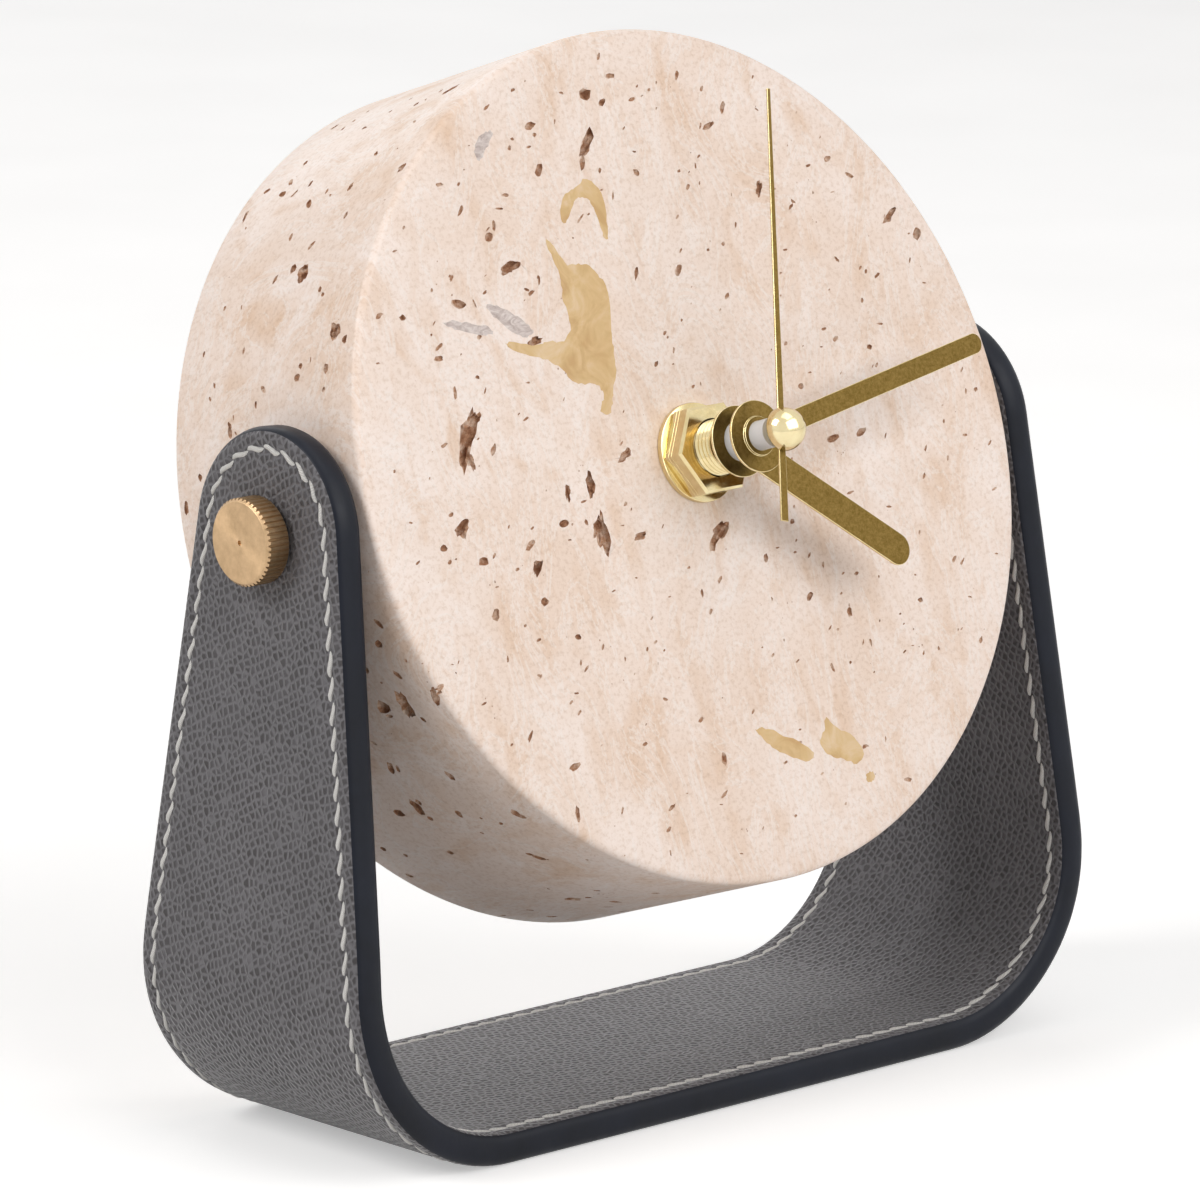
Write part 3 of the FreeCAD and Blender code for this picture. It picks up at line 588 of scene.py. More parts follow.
def stitchTemplate():
    # a plump strand along x with blunt ends, a slight S and both ends dipping in
    bm = bmesh.new()
    bmesh.ops.create_uvsphere(bm, u_segments=stitch["around"], v_segments=stitch["rings"],
                              radius=0.5)
    bmesh.ops.rotate(bm, verts=bm.verts[:], cent=(0, 0, 0), matrix=Matrix.Rotation(
        math.pi / 2, 3, "Y"))
    layer = bm.loops.layers.uv.new("threadMap")
    for face in bm.faces:
        for loop in face.loops:
            spot = loop.vert.co
            loop[layer].uv = (spot.x * 6, math.atan2(spot.y, spot.z) / math.pi * 1.5)
    for vert in bm.verts:
        x, y, z = vert.co
        share = min(abs(2 * x), 1.0)
        blunt = math.sqrt((1 - share ** 4) / max(1 - share ** 2, 1e-6)) if share < 0.999 else 1
        bend = stitch["curve"] * math.sin(2 * math.pi * x)
        vert.co = Vector((x * stitch["length"], y * stitch["width"] * blunt - bend,
                          z * stitch["rise"] * blunt - stitch["dip"] * x * x * x * x * 4))
    mesh = bpy.data.meshes.new("stitchTemplate")
    bm.to_mesh(mesh)
    bm.free()
    return mesh


def buildStitches(name, outerFace):
    # walk the seam line and set a stitch every pitch, on one face of the strap
    rng = random.Random(stitch["seed"] + outerFace)
    seam = strapOutline(strap["seamInset"])
    lengths = [math.dist(a, b) for a, b in zip(seam, seam[1:] + seam[:1])]
    count = round(sum(lengths) / stitch["pitch"])
    pitch = sum(lengths) / count
    template = stitchTemplate()
    height = strap["seamHeight"] if outerFace else -strap["seamHeight"]
    bm = bmesh.new()
    travelled, index = 0.0, 0
    for number in range(count):
        target = number * pitch
        while travelled + lengths[index] < target:
            travelled += lengths[index]
            index += 1
        start, end = seam[index], seam[(index + 1) % len(seam)]
        share = (target - travelled) / lengths[index]
        s = start[0] + (end[0] - start[0]) * share
        w = start[1] + (end[1] - start[1]) * share
        heading = math.atan2(end[1] - start[1], end[0] - start[0])
        heading += math.radians(stitch["leanDeg"] * (1 if outerFace else -1) + rng.uniform(-3, 3))
        step = (0.5 * math.cos(heading), 0.5 * math.sin(heading))
        origin = bendPoint(s, w, height)
        forwardDir = (bendPoint(s + step[0], w + step[1], height)
                      - bendPoint(s - step[0], w - step[1], height)).normalized()
        outward = (bendPoint(s, w, height * 1.2) - origin).normalized()
        sideways = outward.cross(forwardDir).normalized()
        outward = forwardDir.cross(sideways)
        basis = Matrix((forwardDir, sideways, outward)).transposed().to_4x4()
        scale = Matrix.Diagonal((rng.uniform(0.96, 1.04), rng.uniform(0.92, 1.08), 1.0, 1.0))
        first = len(bm.verts)
        bm.from_mesh(template)
        bm.verts.ensure_lookup_table()
        bmesh.ops.transform(bm, verts=bm.verts[first:],
                            matrix=Matrix.Translation(origin) @ basis @ scale
                            @ Matrix.Scale(mm, 4))
    bpy.data.meshes.remove(template)
    return keepPiece(bm, name, [thread], "stand", sharpDeg=80)


print("stage: strap")
buildStrap()
buildStitches("stitchesOuter", True)
buildStitches("stitchesInner", False)


# stone block
block = {"radius": 60.0, "thick": 40.0, "rim": 1.0, "segments": 240, "pocketHalf": 30.0,
         "rings": (0, 0.06, 0.15, 0.27, 0.4, 0.53, 0.66, 0.79, 0.9), "pocketCorner": 6.0,
         "web": 6.5, "bore": 4.6, "spotRadius": 8.0, "spotDepth": 0.6, "pivotBehind": 15.1,
         "seed": 11}

# open pores of the front face: x, y, length, width in mm, and lean in degrees
frontPores = (
    (-40.2, 7.4, 7.6, 2.5, 62), (-38.4, 9.6, 3.4, 1.6, 30), (-40.4, 4.4, 2.6, 1.2, 100),
    (-19.9, -8.6, 5.8, 2.1, 84), (-20.6, -7.4, 3.0, 1.4, 60), (-20.3, -1.7, 3.8, 1.5, 80),
    (1.4, -11.2, 4.4, 1.7, 35), (-0.6, -12.8, 2.2, 1.1, 60), (-7.2, 44.8, 5.2, 1.7, 48),
    (-8.8, 42.2, 2.4, 0.9, 70), (-26.0, 29.4, 3.4, 1.7, 12), (-24.3, 19.0, 2.7, 1.2, 8),
    (50.8, 25.1, 2.0, 1.4, 40), (0.6, 39.7, 1.2, 0.9, -30), (-32.9, -11.6, 2.7, 1.5, 50),
    (-33.0, -16.2, 1.4, 1.1, 20), (-42.0, -9.2, 1.7, 1.2, 10), (-44.6, -4.4, 3.0, 1.8, 40),
    (-42.0, -16.6, 1.8, 1.2, 50), (-26.5, -6.2, 1.7, 1.1, 5), (-33.2, -8.2, 2.2, 0.8, 35),
    (-48.4, -6.5, 1.2, 0.9, 0), (-12.9, 1.4, 2.8, 1.2, 25), (-13.4, -9.8, 2.6, 1.0, 10),
    (-28.5, 34.0, 1.7, 1.1, 25), (-17.0, 42.0, 2.0, 1.1, 55), (-46.7, 25.0, 1.1, 0.9, 0),
    (-36.3, 25.6, 2.4, 1.2, -20), (-17.0, 48.2, 2.2, 0.9, 15), (-5.6, 51.4, 2.3, 1.5, 10),
    (-2.8, 50.0, 1.6, 0.9, 40), (-0.3, 53.5, 1.7, 0.8, 5), (15.8, 44.7, 2.5, 0.9, 20),
    (19.2, 47.0, 1.8, 0.9, 60), (22.6, 34.9, 2.8, 1.1, 60), (36.8, 37.6, 1.5, 0.7, 20),
    (4.3, 25.4, 1.9, 1.1, 45), (-3.5, 26.0, 2.0, 0.7, 60), (46.5, 28.4, 3.6, 1.1, 35),
    (31.7, -1.2, 2.2, 1.0, 20), (26.0, -1.4, 2.4, 1.1, 10), (22.3, 6.6, 1.1, 0.8, 0),
    (36.9, 10.4, 1.0, 0.8, 0), (35.8, -26.0, 1.1, 0.7, 10), (21.9, -25.7, 1.4, 0.9, 80),
    (15.2, -22.4, 1.5, 1.0, 30), (-55.2, -25.5, 3.0, 1.4, 30), (-28.4, -21.7, 1.1, 0.8, 0),
    (-34.1, -38.8, 2.0, 0.9, 15), (-35.4, -45.0, 2.4, 0.8, 80), (-7.2, -42.0, 1.7, 1.0, 80),
    (-18.5, -47.0, 1.5, 0.6, 20), (-8.6, -46.8, 1.8, 0.5, 30), (8.6, -16.0, 1.3, 0.9, 70),
    (-40.5, 13.9, 2.0, 0.6, 80), (-36.0, 5.4, 1.8, 0.8, 50), (-42.0, 18.8, 1.8, 0.7, 0),
    (-24.6, -2.2, 2.6, 1.0, 75), (0.2, 14.6, 0.9, 0.4, 70), (24.8, -20.6, 0.9, 0.5, 10),
)
# open pores of the rim: direction in degrees, depth behind the front, lengths in mm
rimPores = (
    (145.0, 15.5, 2.2, 3.2, 20), (143.6, 18.2, 1.4, 1.6, 0), (112.0, 8.0, 1.6, 2.8, -40),
    (155.2, 5.2, 2.2, 2.6, 20), (205.6, 8.2, 4.6, 2.2, 80), (205.0, 12.4, 2.4, 2.2, 30),
    (205.4, 1.6, 3.0, 1.3, 70), (221.2, 21.0, 3.4, 1.5, 85), (221.4, 25.2, 1.8, 1.6, 30),
    (214.0, 19.2, 2.2, 1.1, 60), (217.4, 9.8, 1.1, 1.9, 0), (131.0, 2.0, 1.6, 1.4, 60),
    (131.5, 12.8, 0.9, 1.5, 0), (137.0, 10.2, 0.8, 1.3, 0), (130.5, 37.0, 0.7, 2.6, 15),
    (194.0, 5.0, 0.8, 1.9, 40), (226.5, 5.2, 1.1, 2.4, 30), (223.8, 15.0, 1.8, 0.9, 70),
    (173.0, 38.0, 1.0, 2.0, 0), (236.0, 12.0, 1.2, 2.2, 20), (250.0, 22.0, 1.6, 2.6, 40),
)
scatter = {"front": 290, "rim": 240, "back": 90, "smallest": 0.3, "largest": 0.92}


# how a pore's wall is roughened: two sizes of lump, and how far they push
poreWall = {"largeFrom": 2.4, "coarse": 3.1, "fine": 7, "largePush": 0.544, "smallPush": 0.416}


def addPore(bm, place, outward, along, size, rng):
    # a ragged blob that straddles the surface: size is length, width and depth in mm
    large = max(size) > poreWall["largeFrom"]
    first = len(bm.verts)
    bmesh.ops.create_icosphere(bm, subdivisions=3 if large else 2, radius=0.5)
    bm.verts.ensure_lookup_table()
    fresh = bm.verts[first:]
    seedShift = Vector((rng.uniform(-50, 50), rng.uniform(-50, 50), rng.uniform(-50, 50)))
    push = poreWall["largePush" if large else "smallPush"]
    for vert in fresh:
        lump = noise.noise(vert.co * poreWall["coarse"] + seedShift)
        lump += 0.5 * noise.noise(vert.co * poreWall["fine"] + seedShift)
        vert.co *= 1 + push * lump
    sideways = outward.cross(along).normalized()
    basis = Matrix((along, sideways, outward)).transposed().to_4x4()
    shape = Matrix.Diagonal((size[0] * mm, size[1] * mm, size[2] * mm, 1))
    bmesh.ops.transform(bm, verts=fresh, matrix=Matrix.Translation(place) @ basis @ shape)


def poreCutters():
    rng = random.Random(block["seed"])
    bm = bmesh.new()
    radius, thick = block["radius"], block["thick"]

    def onFace(x, y, z, length, width, leanDeg, facing):
        turn = math.radians(leanDeg)
        addPore(bm, Vector((x, y, z)) * mm, Vector((0, 0, facing)),
                Vector((math.cos(turn), math.sin(turn), 0)),
                (length, width, min(1.5 * width, 0.9 * width * width + 0.25)), rng)

    def onRim(direction, behind, tall, wide, leanDeg):
        turn = math.radians(direction)
        outward = Vector((math.cos(turn), math.sin(turn), 0))
        sweep = Vector((-math.sin(turn), math.cos(turn), 0))
        tiltTurn = math.radians(leanDeg)
        along = sweep * math.cos(tiltTurn) + Vector((0, 0, 1)) * math.sin(tiltTurn)
        addPore(bm, outward * radius * mm - Vector((0, 0, behind * mm)), outward, along,
                (wide, tall, min(wide, tall, 0.6 * wide * tall + 0.25)), rng)

    for x, y, length, width, leanDeg in frontPores:
        onFace(x, y, 0, length, width, leanDeg, 1)
    for direction, behind, tall, wide, leanDeg in rimPores:
        onRim(direction, behind, tall, wide, leanDeg)
    for face, facing, count in ((0, 1, scatter["front"]), (-thick, -1, scatter["back"])):
        made = 0
        while made < count:
            x, y = rng.uniform(-57, 57), rng.uniform(-57, 57)
            small = rng.uniform(scatter["smallest"], scatter["largest"]) * rng.uniform(0.6, 1)
            nearShaft = facing > 0 and math.hypot(x, y) < 9
            inPocket = facing < 0 and max(abs(x), abs(y)) < block["pocketHalf"] + 1
            if math.hypot(x, y) > 57 or nearShaft or inPocket:
                continue
            onFace(x, y, face, small * rng.uniform(1, 2.2), small * rng.uniform(0.5, 0.9),
                   rng.gauss(35, 30), facing)
            made += 1
    for number in range(scatter["rim"]):
        small = rng.uniform(scatter["smallest"], scatter["largest"] * 1.3)
        direction = rng.uniform(0, 360)
        behind = rng.uniform(2, thick - 2)
        nearPivot = abs((direction + 90) % 180 - 90) < 9 and abs(behind - block["pivotBehind"]) < 9
        if not nearPivot:
            onRim(direction, behind, small * rng.uniform(0.6, 1.2), small * rng.uniform(1, 2),
                  rng.gauss(20, 25))
    return bm


def joinedMesh(name, parts, material):
    # several closed meshes in one cutter object
    merged = bmesh.new()
    for part in parts:
        bmesh.ops.recalc_face_normals(part, faces=part.faces[:])
        scratch = bpy.data.meshes.new("scratch")
        part.to_mesh(scratch)
        part.free()
        merged.from_mesh(scratch)
        bpy.data.meshes.remove(scratch)
    mesh = bpy.data.meshes.new(name)
    merged.to_mesh(mesh)
    merged.free()
    mesh.materials.append(material)
    piece = bpy.data.objects.new(name, mesh)
    bpy.context.scene.collection.objects.link(piece)
    return piece


def machiningCutters():
    pocket = bmesh.new()
    bmesh.ops.create_cube(pocket, size=1)
    bmesh.ops.scale(pocket, vec=Vector((2 * block["pocketHalf"], 2 * block["pocketHalf"],
                                        block["thick"])) * mm, verts=pocket.verts[:])
    upright = [e for e in pocket.edges if abs(e.verts[0].co.z - e.verts[1].co.z) > 1 * mm]
    bmesh.ops.bevel(pocket, geom=upright, offset=block["pocketCorner"] * mm, segments=8,
                    profile=0.5, affect="EDGES", material=-1)
    bmesh.ops.translate(pocket, verts=pocket.verts[:],
                        vec=(0, 0, -(block["web"] + block["thick"] / 2) * mm))
    bore = bmesh.new()
    bmesh.ops.create_cone(bore, cap_ends=True, segments=48, radius1=block["bore"] * mm,
                          radius2=block["bore"] * mm, depth=30 * mm)
    parts = [pocket, bore]
    for side in (-1, 1):
        spot = bmesh.new()
        bmesh.ops.create_cone(spot, cap_ends=True, segments=64, radius1=block["spotRadius"] * mm,
                              radius2=block["spotRadius"] * mm, depth=10 * mm)
        bmesh.ops.rotate(spot, verts=spot.verts[:], cent=(0, 0, 0),
                         matrix=Matrix.Rotation(math.pi / 2, 3, "Y"))
        reach = block["radius"] - block["spotDepth"] + 5
        bmesh.ops.translate(spot, verts=spot.verts[:],
                            vec=Vector((side * reach, 0, -block["pivotBehind"])) * mm)
        parts.append(spot)
    return parts


def buildStone():
    bm = bmesh.new()
    radius, thick, rim = block["radius"], block["thick"], block["rim"]
    # rings across both faces keep each cut local, so the flats stay clean round the pores
    flats = [radius * share for share in block["rings"]]
    profile = [(reach, 0) for reach in flats] + [(radius - rim, 0)]
    for step in range(1, 4):
        turn = math.pi / 2 * step / 4
        profile.append((radius - rim + rim * math.sin(turn), -rim + rim * math.cos(turn)))
    profile += [(radius, -rim - (thick - 2 * rim) * step / 6) for step in range(7)]
    for step in range(1, 4):
        turn = math.pi / 2 * step / 4
        profile.append((radius - rim + rim * math.cos(turn), -(thick - rim) - rim * math.sin(turn)))
    profile += [(radius - rim, -thick)] + [(reach, -thick) for reach in reversed(flats)]
    spinProfile(bm, profile, block["segments"])
    bmesh.ops.recalc_face_normals(bm, faces=bm.faces[:])
    mesh = bpy.data.meshes.new("stoneBlock")
    bm.to_mesh(mesh)
    bm.free()
    for material in (stone, pore):
        mesh.materials.append(material)
    piece = bpy.data.objects.new("stoneBlock", mesh)
    bpy.context.scene.collection.objects.link(piece)
    machined = joinedMesh("machiningCutter", machiningCutters(), stone)
    pitted = joinedMesh("poreCutter", [poreCutters()], pore)
    for cutter in (machined, pitted):
        cut = piece.modifiers.new("cut", "BOOLEAN")
        cut.operation = "DIFFERENCE"
        cut.solver = "EXACT"
        cut.use_self = True
        cut.material_mode = "TRANSFER"
        cut.object = cutter
    applyModifiers(piece)
    for cutter in (machined, pitted):
        bpy.data.objects.remove(cutter)
    bm = bmesh.new()
    bm.from_mesh(piece.data)
    finished = piece.data.materials[:]
    bpy.data.objects.remove(piece)
    bmesh.ops.triangulate(bm, faces=[f for f in bm.faces if len(f.verts) > 4])
    bmesh.ops.transform(bm, verts=bm.verts[:], matrix=headMatrix)
    return keepPiece(bm, "stoneBlock", finished, "clock_head", ("stone_block",), 28)


print("stage: stone")
stoneBlock = buildStone()
print("stone faces", len(stoneBlock.data.polygons), [m.name for m in stoneBlock.data.materials])


# inlays: flush fillings of old cracks, each a short closed outline in mm on the front face
resinOutlines = (
    ((-18.9, 33.0), (-17.1, 31.4), (-16.0, 28.3), (-13.9, 28.6), (-11.9, 28.1), (-10.4, 26.4),
     (-9.3, 24.9), (-9.7, 21.6), (-10.6, 18.4), (-10.7, 14.9), (-11.4, 12.4), (-12.6, 10.3),
     (-13.3, 7.9), (-14.6, 7.1), (-15.8, 8.2), (-14.5, 9.4), (-14.2, 10.8), (-15.6, 12.1),
     (-17.6, 12.0), (-19.6, 12.8), (-20.6, 14.6), (-22.6, 16.0), (-25.4, 17.0), (-28.8, 18.2),
     (-30.2, 19.4), (-27.4, 19.3), (-24.0, 18.1), (-22.0, 18.8), (-19.9, 18.0), (-18.0, 19.0),
     (-17.2, 21.2), (-17.9, 24.2), (-17.2, 27.0), (-18.0, 30.0)),
    ((-15.0, 34.0), (-14.8, 36.4), (-13.0, 38.5), (-10.6, 38.8), (-9.2, 40.2), (-7.9, 39.6),
     (-6.5, 37.4), (-6.6, 34.0), (-7.2, 30.9), (-8.1, 31.6), (-8.4, 35.0), (-9.2, 37.2),
     (-10.8, 37.6), (-12.5, 36.5), (-13.7, 34.4)),
    ((-0.7, -38.8), (1.8, -39.1), (5.0, -40.9), (8.0, -42.3), (9.9, -44.2), (8.0, -45.0),
     (5.0, -43.7), (2.2, -42.3), (0.5, -40.2)),
    ((13.0, -39.0), (14.2, -40.9), (17.4, -42.5), (19.0, -45.3), (17.4, -46.9), (15.0, -45.7),
     (12.6, -44.9), (10.8, -43.4), (11.2, -41.9), (12.5, -41.2)),
    ((18.2, -48.2), (19.4, -47.9), (19.9, -48.8), (18.9, -49.7), (18.1, -49.1)),
)
calciteOutlines = (
    ((-32.2, 25.0), (-30.0, 24.8), (-27.4, 23.2), (-25.0, 21.4), (-24.1, 19.9), (-26.0, 19.6),
     (-28.4, 20.8), (-30.8, 23.0)),
    ((-40.4, 23.7), (-37.0, 23.3), (-33.6, 22.4), (-31.2, 21.4), (-31.9, 20.6), (-35.0, 21.2),
     (-38.6, 22.5)),
    ((-26.8, 47.6), (-24.6, 48.4), (-23.4, 48.0), (-25.4, 46.2), (-27.2, 44.2), (-28.0, 45.4)),
)
inlay = {"proud": 0.015, "deep": 0.5, "rounds": 2, "wobble": 0.17, "seed": 3}


def roundedOutline(points, rng):
    # cut every corner twice over, then roughen, so a few points read as a flowed filling
    loop = [Vector(point) for point in points]
    for number in range(inlay["rounds"]):
        cut = []
        for here, after in zip(loop, loop[1:] + loop[:1]):
            cut += [here * 0.75 + after * 0.25, here * 0.25 + after * 0.75]
        loop = cut
    wobble = inlay["wobble"]
    return [(point.x + rng.uniform(-wobble, wobble), point.y + rng.uniform(-wobble, wobble))
            for point in loop]


def buildInlays(name, outlines, material):
    bm = bmesh.new()
    rng = random.Random(inlay["seed"])
    for outline in outlines:
        polygonPrism(bm, roundedOutline(outline, rng), -inlay["deep"], inlay["proud"])
    bmesh.ops.transform(bm, verts=bm.verts[:], matrix=headMatrix)
    return finishPiece(bm, name, [material], "clock_head")


print("stage: inlays")
buildInlays("resinFillings", resinOutlines, resin)
buildInlays("calciteVeins", calciteOutlines, calcite)


# front hardware
hardware = {"washerRadius": 7.0, "washerThick": 0.9, "nutFlats": 12.0, "nutLow": 0.9,
            "nutHigh": 4.4, "bush": 3.9, "bushFront": 8.7, "pitch": 0.75, "threadDepth": 0.36,
            "pipe": 2.85, "capRadius": 3.0, "capLow": 18.0, "capRim": 18.5}


def buildWasher():
    bm = bmesh.new()
    spinProfile(bm, [(hardware["bush"], 0), (hardware["washerRadius"], 0),
                     (hardware["washerRadius"], hardware["washerThick"]),
                     (hardware["bush"], hardware["washerThick"])], 96, closed=True)
    bevelSharp(bm, 0.15)
    bmesh.ops.transform(bm, verts=bm.verts[:], matrix=headMatrix)
    return finishPiece(bm, "brassWasher", [goldPlate], "clock_head",
                       ("brass_washer",))


def buildNut():
    # hexagon raised in steps, with two shallow grooves round its flats
    bm = bmesh.new()
    corner = hardware["nutFlats"] / math.sqrt(3) * mm
    low, high = hardware["nutLow"], hardware["nutHigh"]
    steps = ((low, 0.94), (low + 0.35, 1.0), (low + 1.0, 1.0), (low + 1.06, 0.982),
             (low + 1.12, 1.0), (low + 1.6, 1.0), (low + 1.66, 0.982), (low + 1.72, 1.0),
             (high - 0.35, 1.0), (high, 0.94))
    ring = bmesh.ops.create_circle(bm, cap_ends=False, segments=6, radius=corner)["verts"]
    bmesh.ops.rotate(bm, verts=ring, cent=(0, 0, 0), matrix=Matrix.Rotation(math.pi / 6, 3, "Z"))
    bmesh.ops.translate(bm, verts=ring, vec=(0, 0, low * mm))
    bmesh.ops.scale(bm, verts=ring, vec=(steps[0][1], steps[0][1], 1))
    edges = list({e for v in ring for e in v.link_edges})
    inner = [edges]
    scaleNow, levelNow = steps[0][1], low
    for level, scale in steps[1:]:
        grown = bmesh.ops.extrude_edge_only(bm, edges=edges)["geom"]
        verts = [g for g in grown if isinstance(g, bmesh.types.BMVert)]
        edges = [g for g in grown if isinstance(g, bmesh.types.BMEdge)]
        bmesh.ops.translate(bm, verts=verts, vec=(0, 0, (level - levelNow) * mm))
        bmesh.ops.scale(bm, verts=verts, vec=(scale / scaleNow, scale / scaleNow, 1))
        scaleNow, levelNow = scale, level
    inner.append(edges)
    for loopEdges, level in zip(inner, (low, high)):
        hole = bmesh.ops.create_circle(bm, cap_ends=False, segments=48,
                                       radius=(hardware["bush"] + 0.25) * mm)["verts"]
        bmesh.ops.translate(bm, verts=hole, vec=(0, 0, level * mm))
        holeEdges = list({e for v in hole for e in v.link_edges})
        bmesh.ops.triangle_fill(bm, use_beauty=True, edges=loopEdges + holeEdges)
        inner.append(holeEdges)
    bmesh.ops.bridge_loops(bm, edges=inner[2] + inner[3])
    bmesh.ops.recalc_face_normals(bm, faces=bm.faces[:])
    bmesh.ops.transform(bm, verts=bm.verts[:], matrix=headMatrix)
    return finishPiece(bm, "hexNut", [goldPlate], "clock_head", ("hex_nut",),
                       sharpDeg=12)


def buildBushing():
    crest = hardware["bush"]
    valley = crest - hardware["threadDepth"]
    front = hardware["bushFront"]
    profile = [(hardware["pipe"], -7.2), (crest, -7.2)]
    level = -6.2
    while level < front - 0.7:
        profile += [(crest, level), (crest, level + 0.1), (valley, level + 0.38),
                    (valley, level + 0.47)]
        level += hardware["pitch"]
    profile += [(crest - 0.1, front - 0.45), (valley, front), (hardware["pipe"], front)]
    bm = bmesh.new()
    spinProfile(bm, profile, 96, closed=True)
    bmesh.ops.transform(bm, verts=bm.verts[:], matrix=headMatrix)
    return finishPiece(bm, "threadedBushing", [goldPlate], "clock_head",
                       ("threaded_bushing",), sharpDeg=25)


def buildCap():
    # button dome with a rolled rim over the hub of the second hand
    radius, low, rim = hardware["capRadius"], hardware["capLow"], hardware["capRim"]
    profile = [(0, low), (radius - 0.35, low), (radius - 0.08, low + 0.1), (radius, low + 0.3)]
    for step in range(19):
        turn = math.pi / 2 * step / 18
        profile.append((radius * math.cos(turn), rim + radius * math.sin(turn)))
    bm = bmesh.new()
    spinProfile(bm, profile, 96)
    bmesh.ops.transform(bm, verts=bm.verts[:], matrix=headMatrix)
    return finishPiece(bm, "secondHandCap", [goldPlate], "second_group",
                       ("second_hand_cap",), sharpDeg=50)


print("stage: front hardware")
buildWasher()
buildNut()
buildBushing()
buildCap()


# pieces that keep the CAD shape and get their edges eased
def easedCopy(nodeName, name, materials, body, widthMm, segments=2, rimNormal=None):
    bm = bmesh.new()
    bm.from_mesh(nodes[nodeName].data)
    bmesh.ops.remove_doubles(bm, verts=bm.verts[:], dist=0.001 * mm)
    bmesh.ops.dissolve_limit(bm, angle_limit=math.radians(0.6), use_dissolve_boundaries=False,
                             verts=bm.verts[:], edges=bm.edges[:])
    for face in bm.faces:
        onRim = rimNormal is not None and abs(face.normal.dot(rimNormal)) <= 0.9
        face.material_index = 1 if onRim else 0
    piece = keepPiece(bm, name, materials, body, (nodeName,), 30)
    ease = piece.modifiers.new("ease", "BEVEL")
    ease.width = widthMm * mm
    ease.segments = segments
    ease.limit_method = "ANGLE"
    ease.angle_limit = math.radians(32)
    ease.use_clamp_overlap = True
    ease.harden_normals = False
    if rimNormal is not None:
        ease.material = 1
    return piece


print("stage: eased pieces")
for handName, easeMm in (("hour", 0.07), ("minute", 0.07), ("second", 0.06)):
    easedCopy(handName + "_hand", handName + "Hand", [handGold, handRim],
              handName + "_group", easeMm, 2, forward)
for sideName in ("left", "right"):
    easedCopy("thumb_screw_" + sideName, "thumbScrew." + sideName, [facedBrass],
              "screw_" + sideName, 0.05, 1)
easedCopy("movement_rear_case", "movementRearCase", [blackAbs], "clock_head",
          0.4, 3)
easedCopy("setting_knob", "settingKnob", [blackAbs], "setting_group", 0.12, 2)
easedCopy("battery_cell", "batteryCell", [sleeve], "clock_head", 0.5, 3)


# floor, light and camera
stage = {"floorHalf": 4.0, "floorCode": "E4E3E2", "floorLift": 0.42, "azimuthDeg": -42.79,
         "elevationDeg": 12.26, "distance": 1.1305, "target": (-0.00475, 0.0, 0.06927),
         "lensMm": 243.2, "ambient": 0.12}


def seenDirectly(tree):
    path = addNode(tree, "ShaderNodeLightPath")
    return mathNode(tree, "MAXIMUM", path.outputs["Is Camera Ray"],
                 mathNode(tree, "MAXIMUM", path.outputs["Is Glossy Ray"],
                       path.outputs["Is Transmission Ray"]))


def buildStage():
    material, tree, shader = newMaterial("matPaper", Roughness=0.9)
    shader.inputs["Specular IOR Level"].default_value = 0.1
    tone = ramp(tree, noiseOf(tree, objectCoords(tree), 60, 2.0), [
        (0.3, hexColor(stage["floorCode"])), (0.7, hexColor("E9E8E7"))])
    tree.links.new(tone, shader.inputs["Base Color"])
    # the backdrop lift is only for what looks at the floor, so no light is added to the clock
    shader.inputs["Emission Color"].default_value = (1, 1, 1, 1)
    tree.links.new(mathNode(tree, "MULTIPLY", seenDirectly(tree), stage["floorLift"]),
                   shader.inputs["Emission Strength"])
    bm = bmesh.new()
    bmesh.ops.create_grid(bm, x_segments=2, y_segments=2, size=stage["floorHalf"])
    mesh = bpy.data.meshes.new("studioFloor")
    bm.to_mesh(mesh)
    bm.free()
    mesh.materials.append(material)
    floor = bpy.data.objects.new("studioFloor", mesh)
    bpy.context.scene.collection.objects.link(floor)


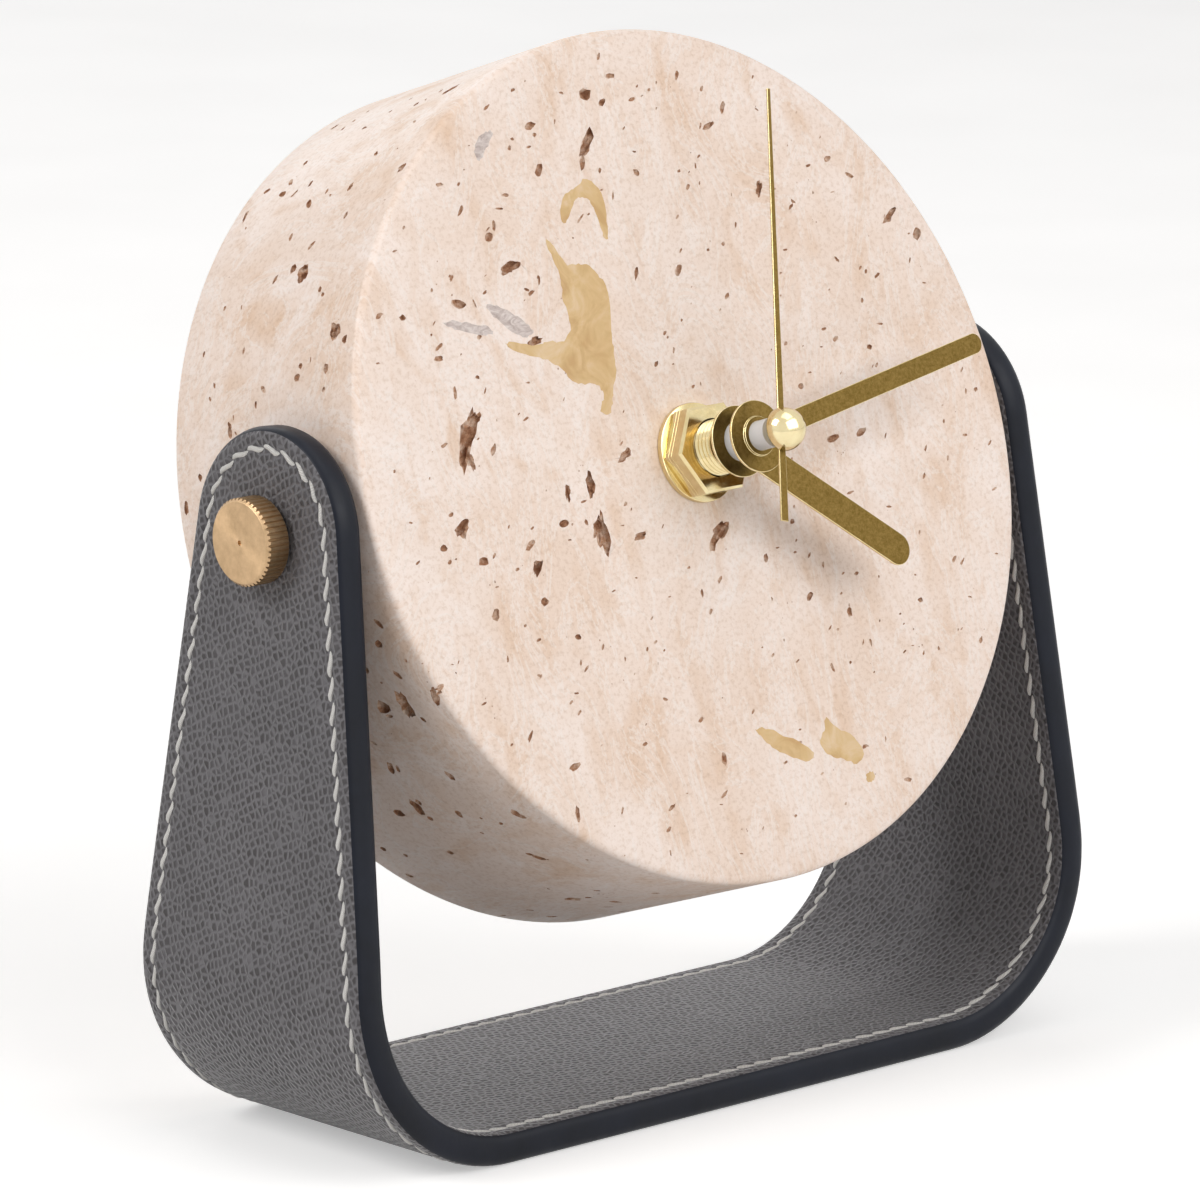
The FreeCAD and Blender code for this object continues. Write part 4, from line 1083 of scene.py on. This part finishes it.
def addSoftbox(name, place, size, power, tint):
    light = bpy.data.lights.new(name, "AREA")
    light.shape = "RECTANGLE"
    light.size, light.size_y = size
    light.energy = power
    light.color = tint
    lamp = bpy.data.objects.new(name, light)
    bpy.context.scene.collection.objects.link(lamp)
    lamp.location = place
    aim = Vector((0, 0, 0.08)) - Vector(place)
    lamp.rotation_euler = aim.to_track_quat("-Z", "Y").to_euler()


def buildWorld():
    world = bpy.data.worlds.new("studio")
    bpy.context.scene.world = world
    world.use_nodes = True
    tree = world.node_tree
    seen = seenDirectly(tree)
    background = tree.nodes["Background"]
    background.inputs["Color"].default_value = (1, 1, 1, 1)
    ambient = stage["ambient"]
    tree.links.new(mathNode(tree, "ADD", mathNode(tree, "MULTIPLY", seen, 1 - ambient), ambient),
                   background.inputs["Strength"])


def buildCamera():
    turn, rise = math.radians(stage["azimuthDeg"]), math.radians(stage["elevationDeg"])
    outward = Vector((math.sin(turn) * math.cos(rise), -math.cos(turn) * math.cos(rise),
                      math.sin(rise)))
    data = bpy.data.cameras.new("studioCamera")
    data.lens = stage["lensMm"]
    data.sensor_width = 36
    data.clip_start, data.clip_end = 0.01, 50
    camera = bpy.data.objects.new("studioCamera", data)
    bpy.context.scene.collection.objects.link(camera)
    camera.location = Vector(stage["target"]) + outward * stage["distance"]
    camera.rotation_euler = (-outward).to_track_quat("-Z", "Y").to_euler()
    bpy.context.scene.camera = camera


print("stage: studio")
buildStage()
buildWorld()
buildCamera()
addSoftbox("leftSoftbox", (-1.3, 0.4, 1.15), (0.8, 0.8), 15.5, (1.0, 0.99, 0.98))
addSoftbox("frontSoftbox", (0.2, -1.45, 1.0), (1.9, 1.3), 20.5, (1.0, 0.99, 0.98))
addSoftbox("topSoftbox", (0.1, -0.3, 1.6), (1.0, 1.0), 4, (1.0, 1.0, 1.0))
addSoftbox("rearSoftbox", (0.6, 1.3, 0.9), (1.0, 0.8), 3, (1.0, 1.0, 1.0))
bpy.context.scene.view_settings.view_transform = "Standard"

bpy.context.view_layer.update()
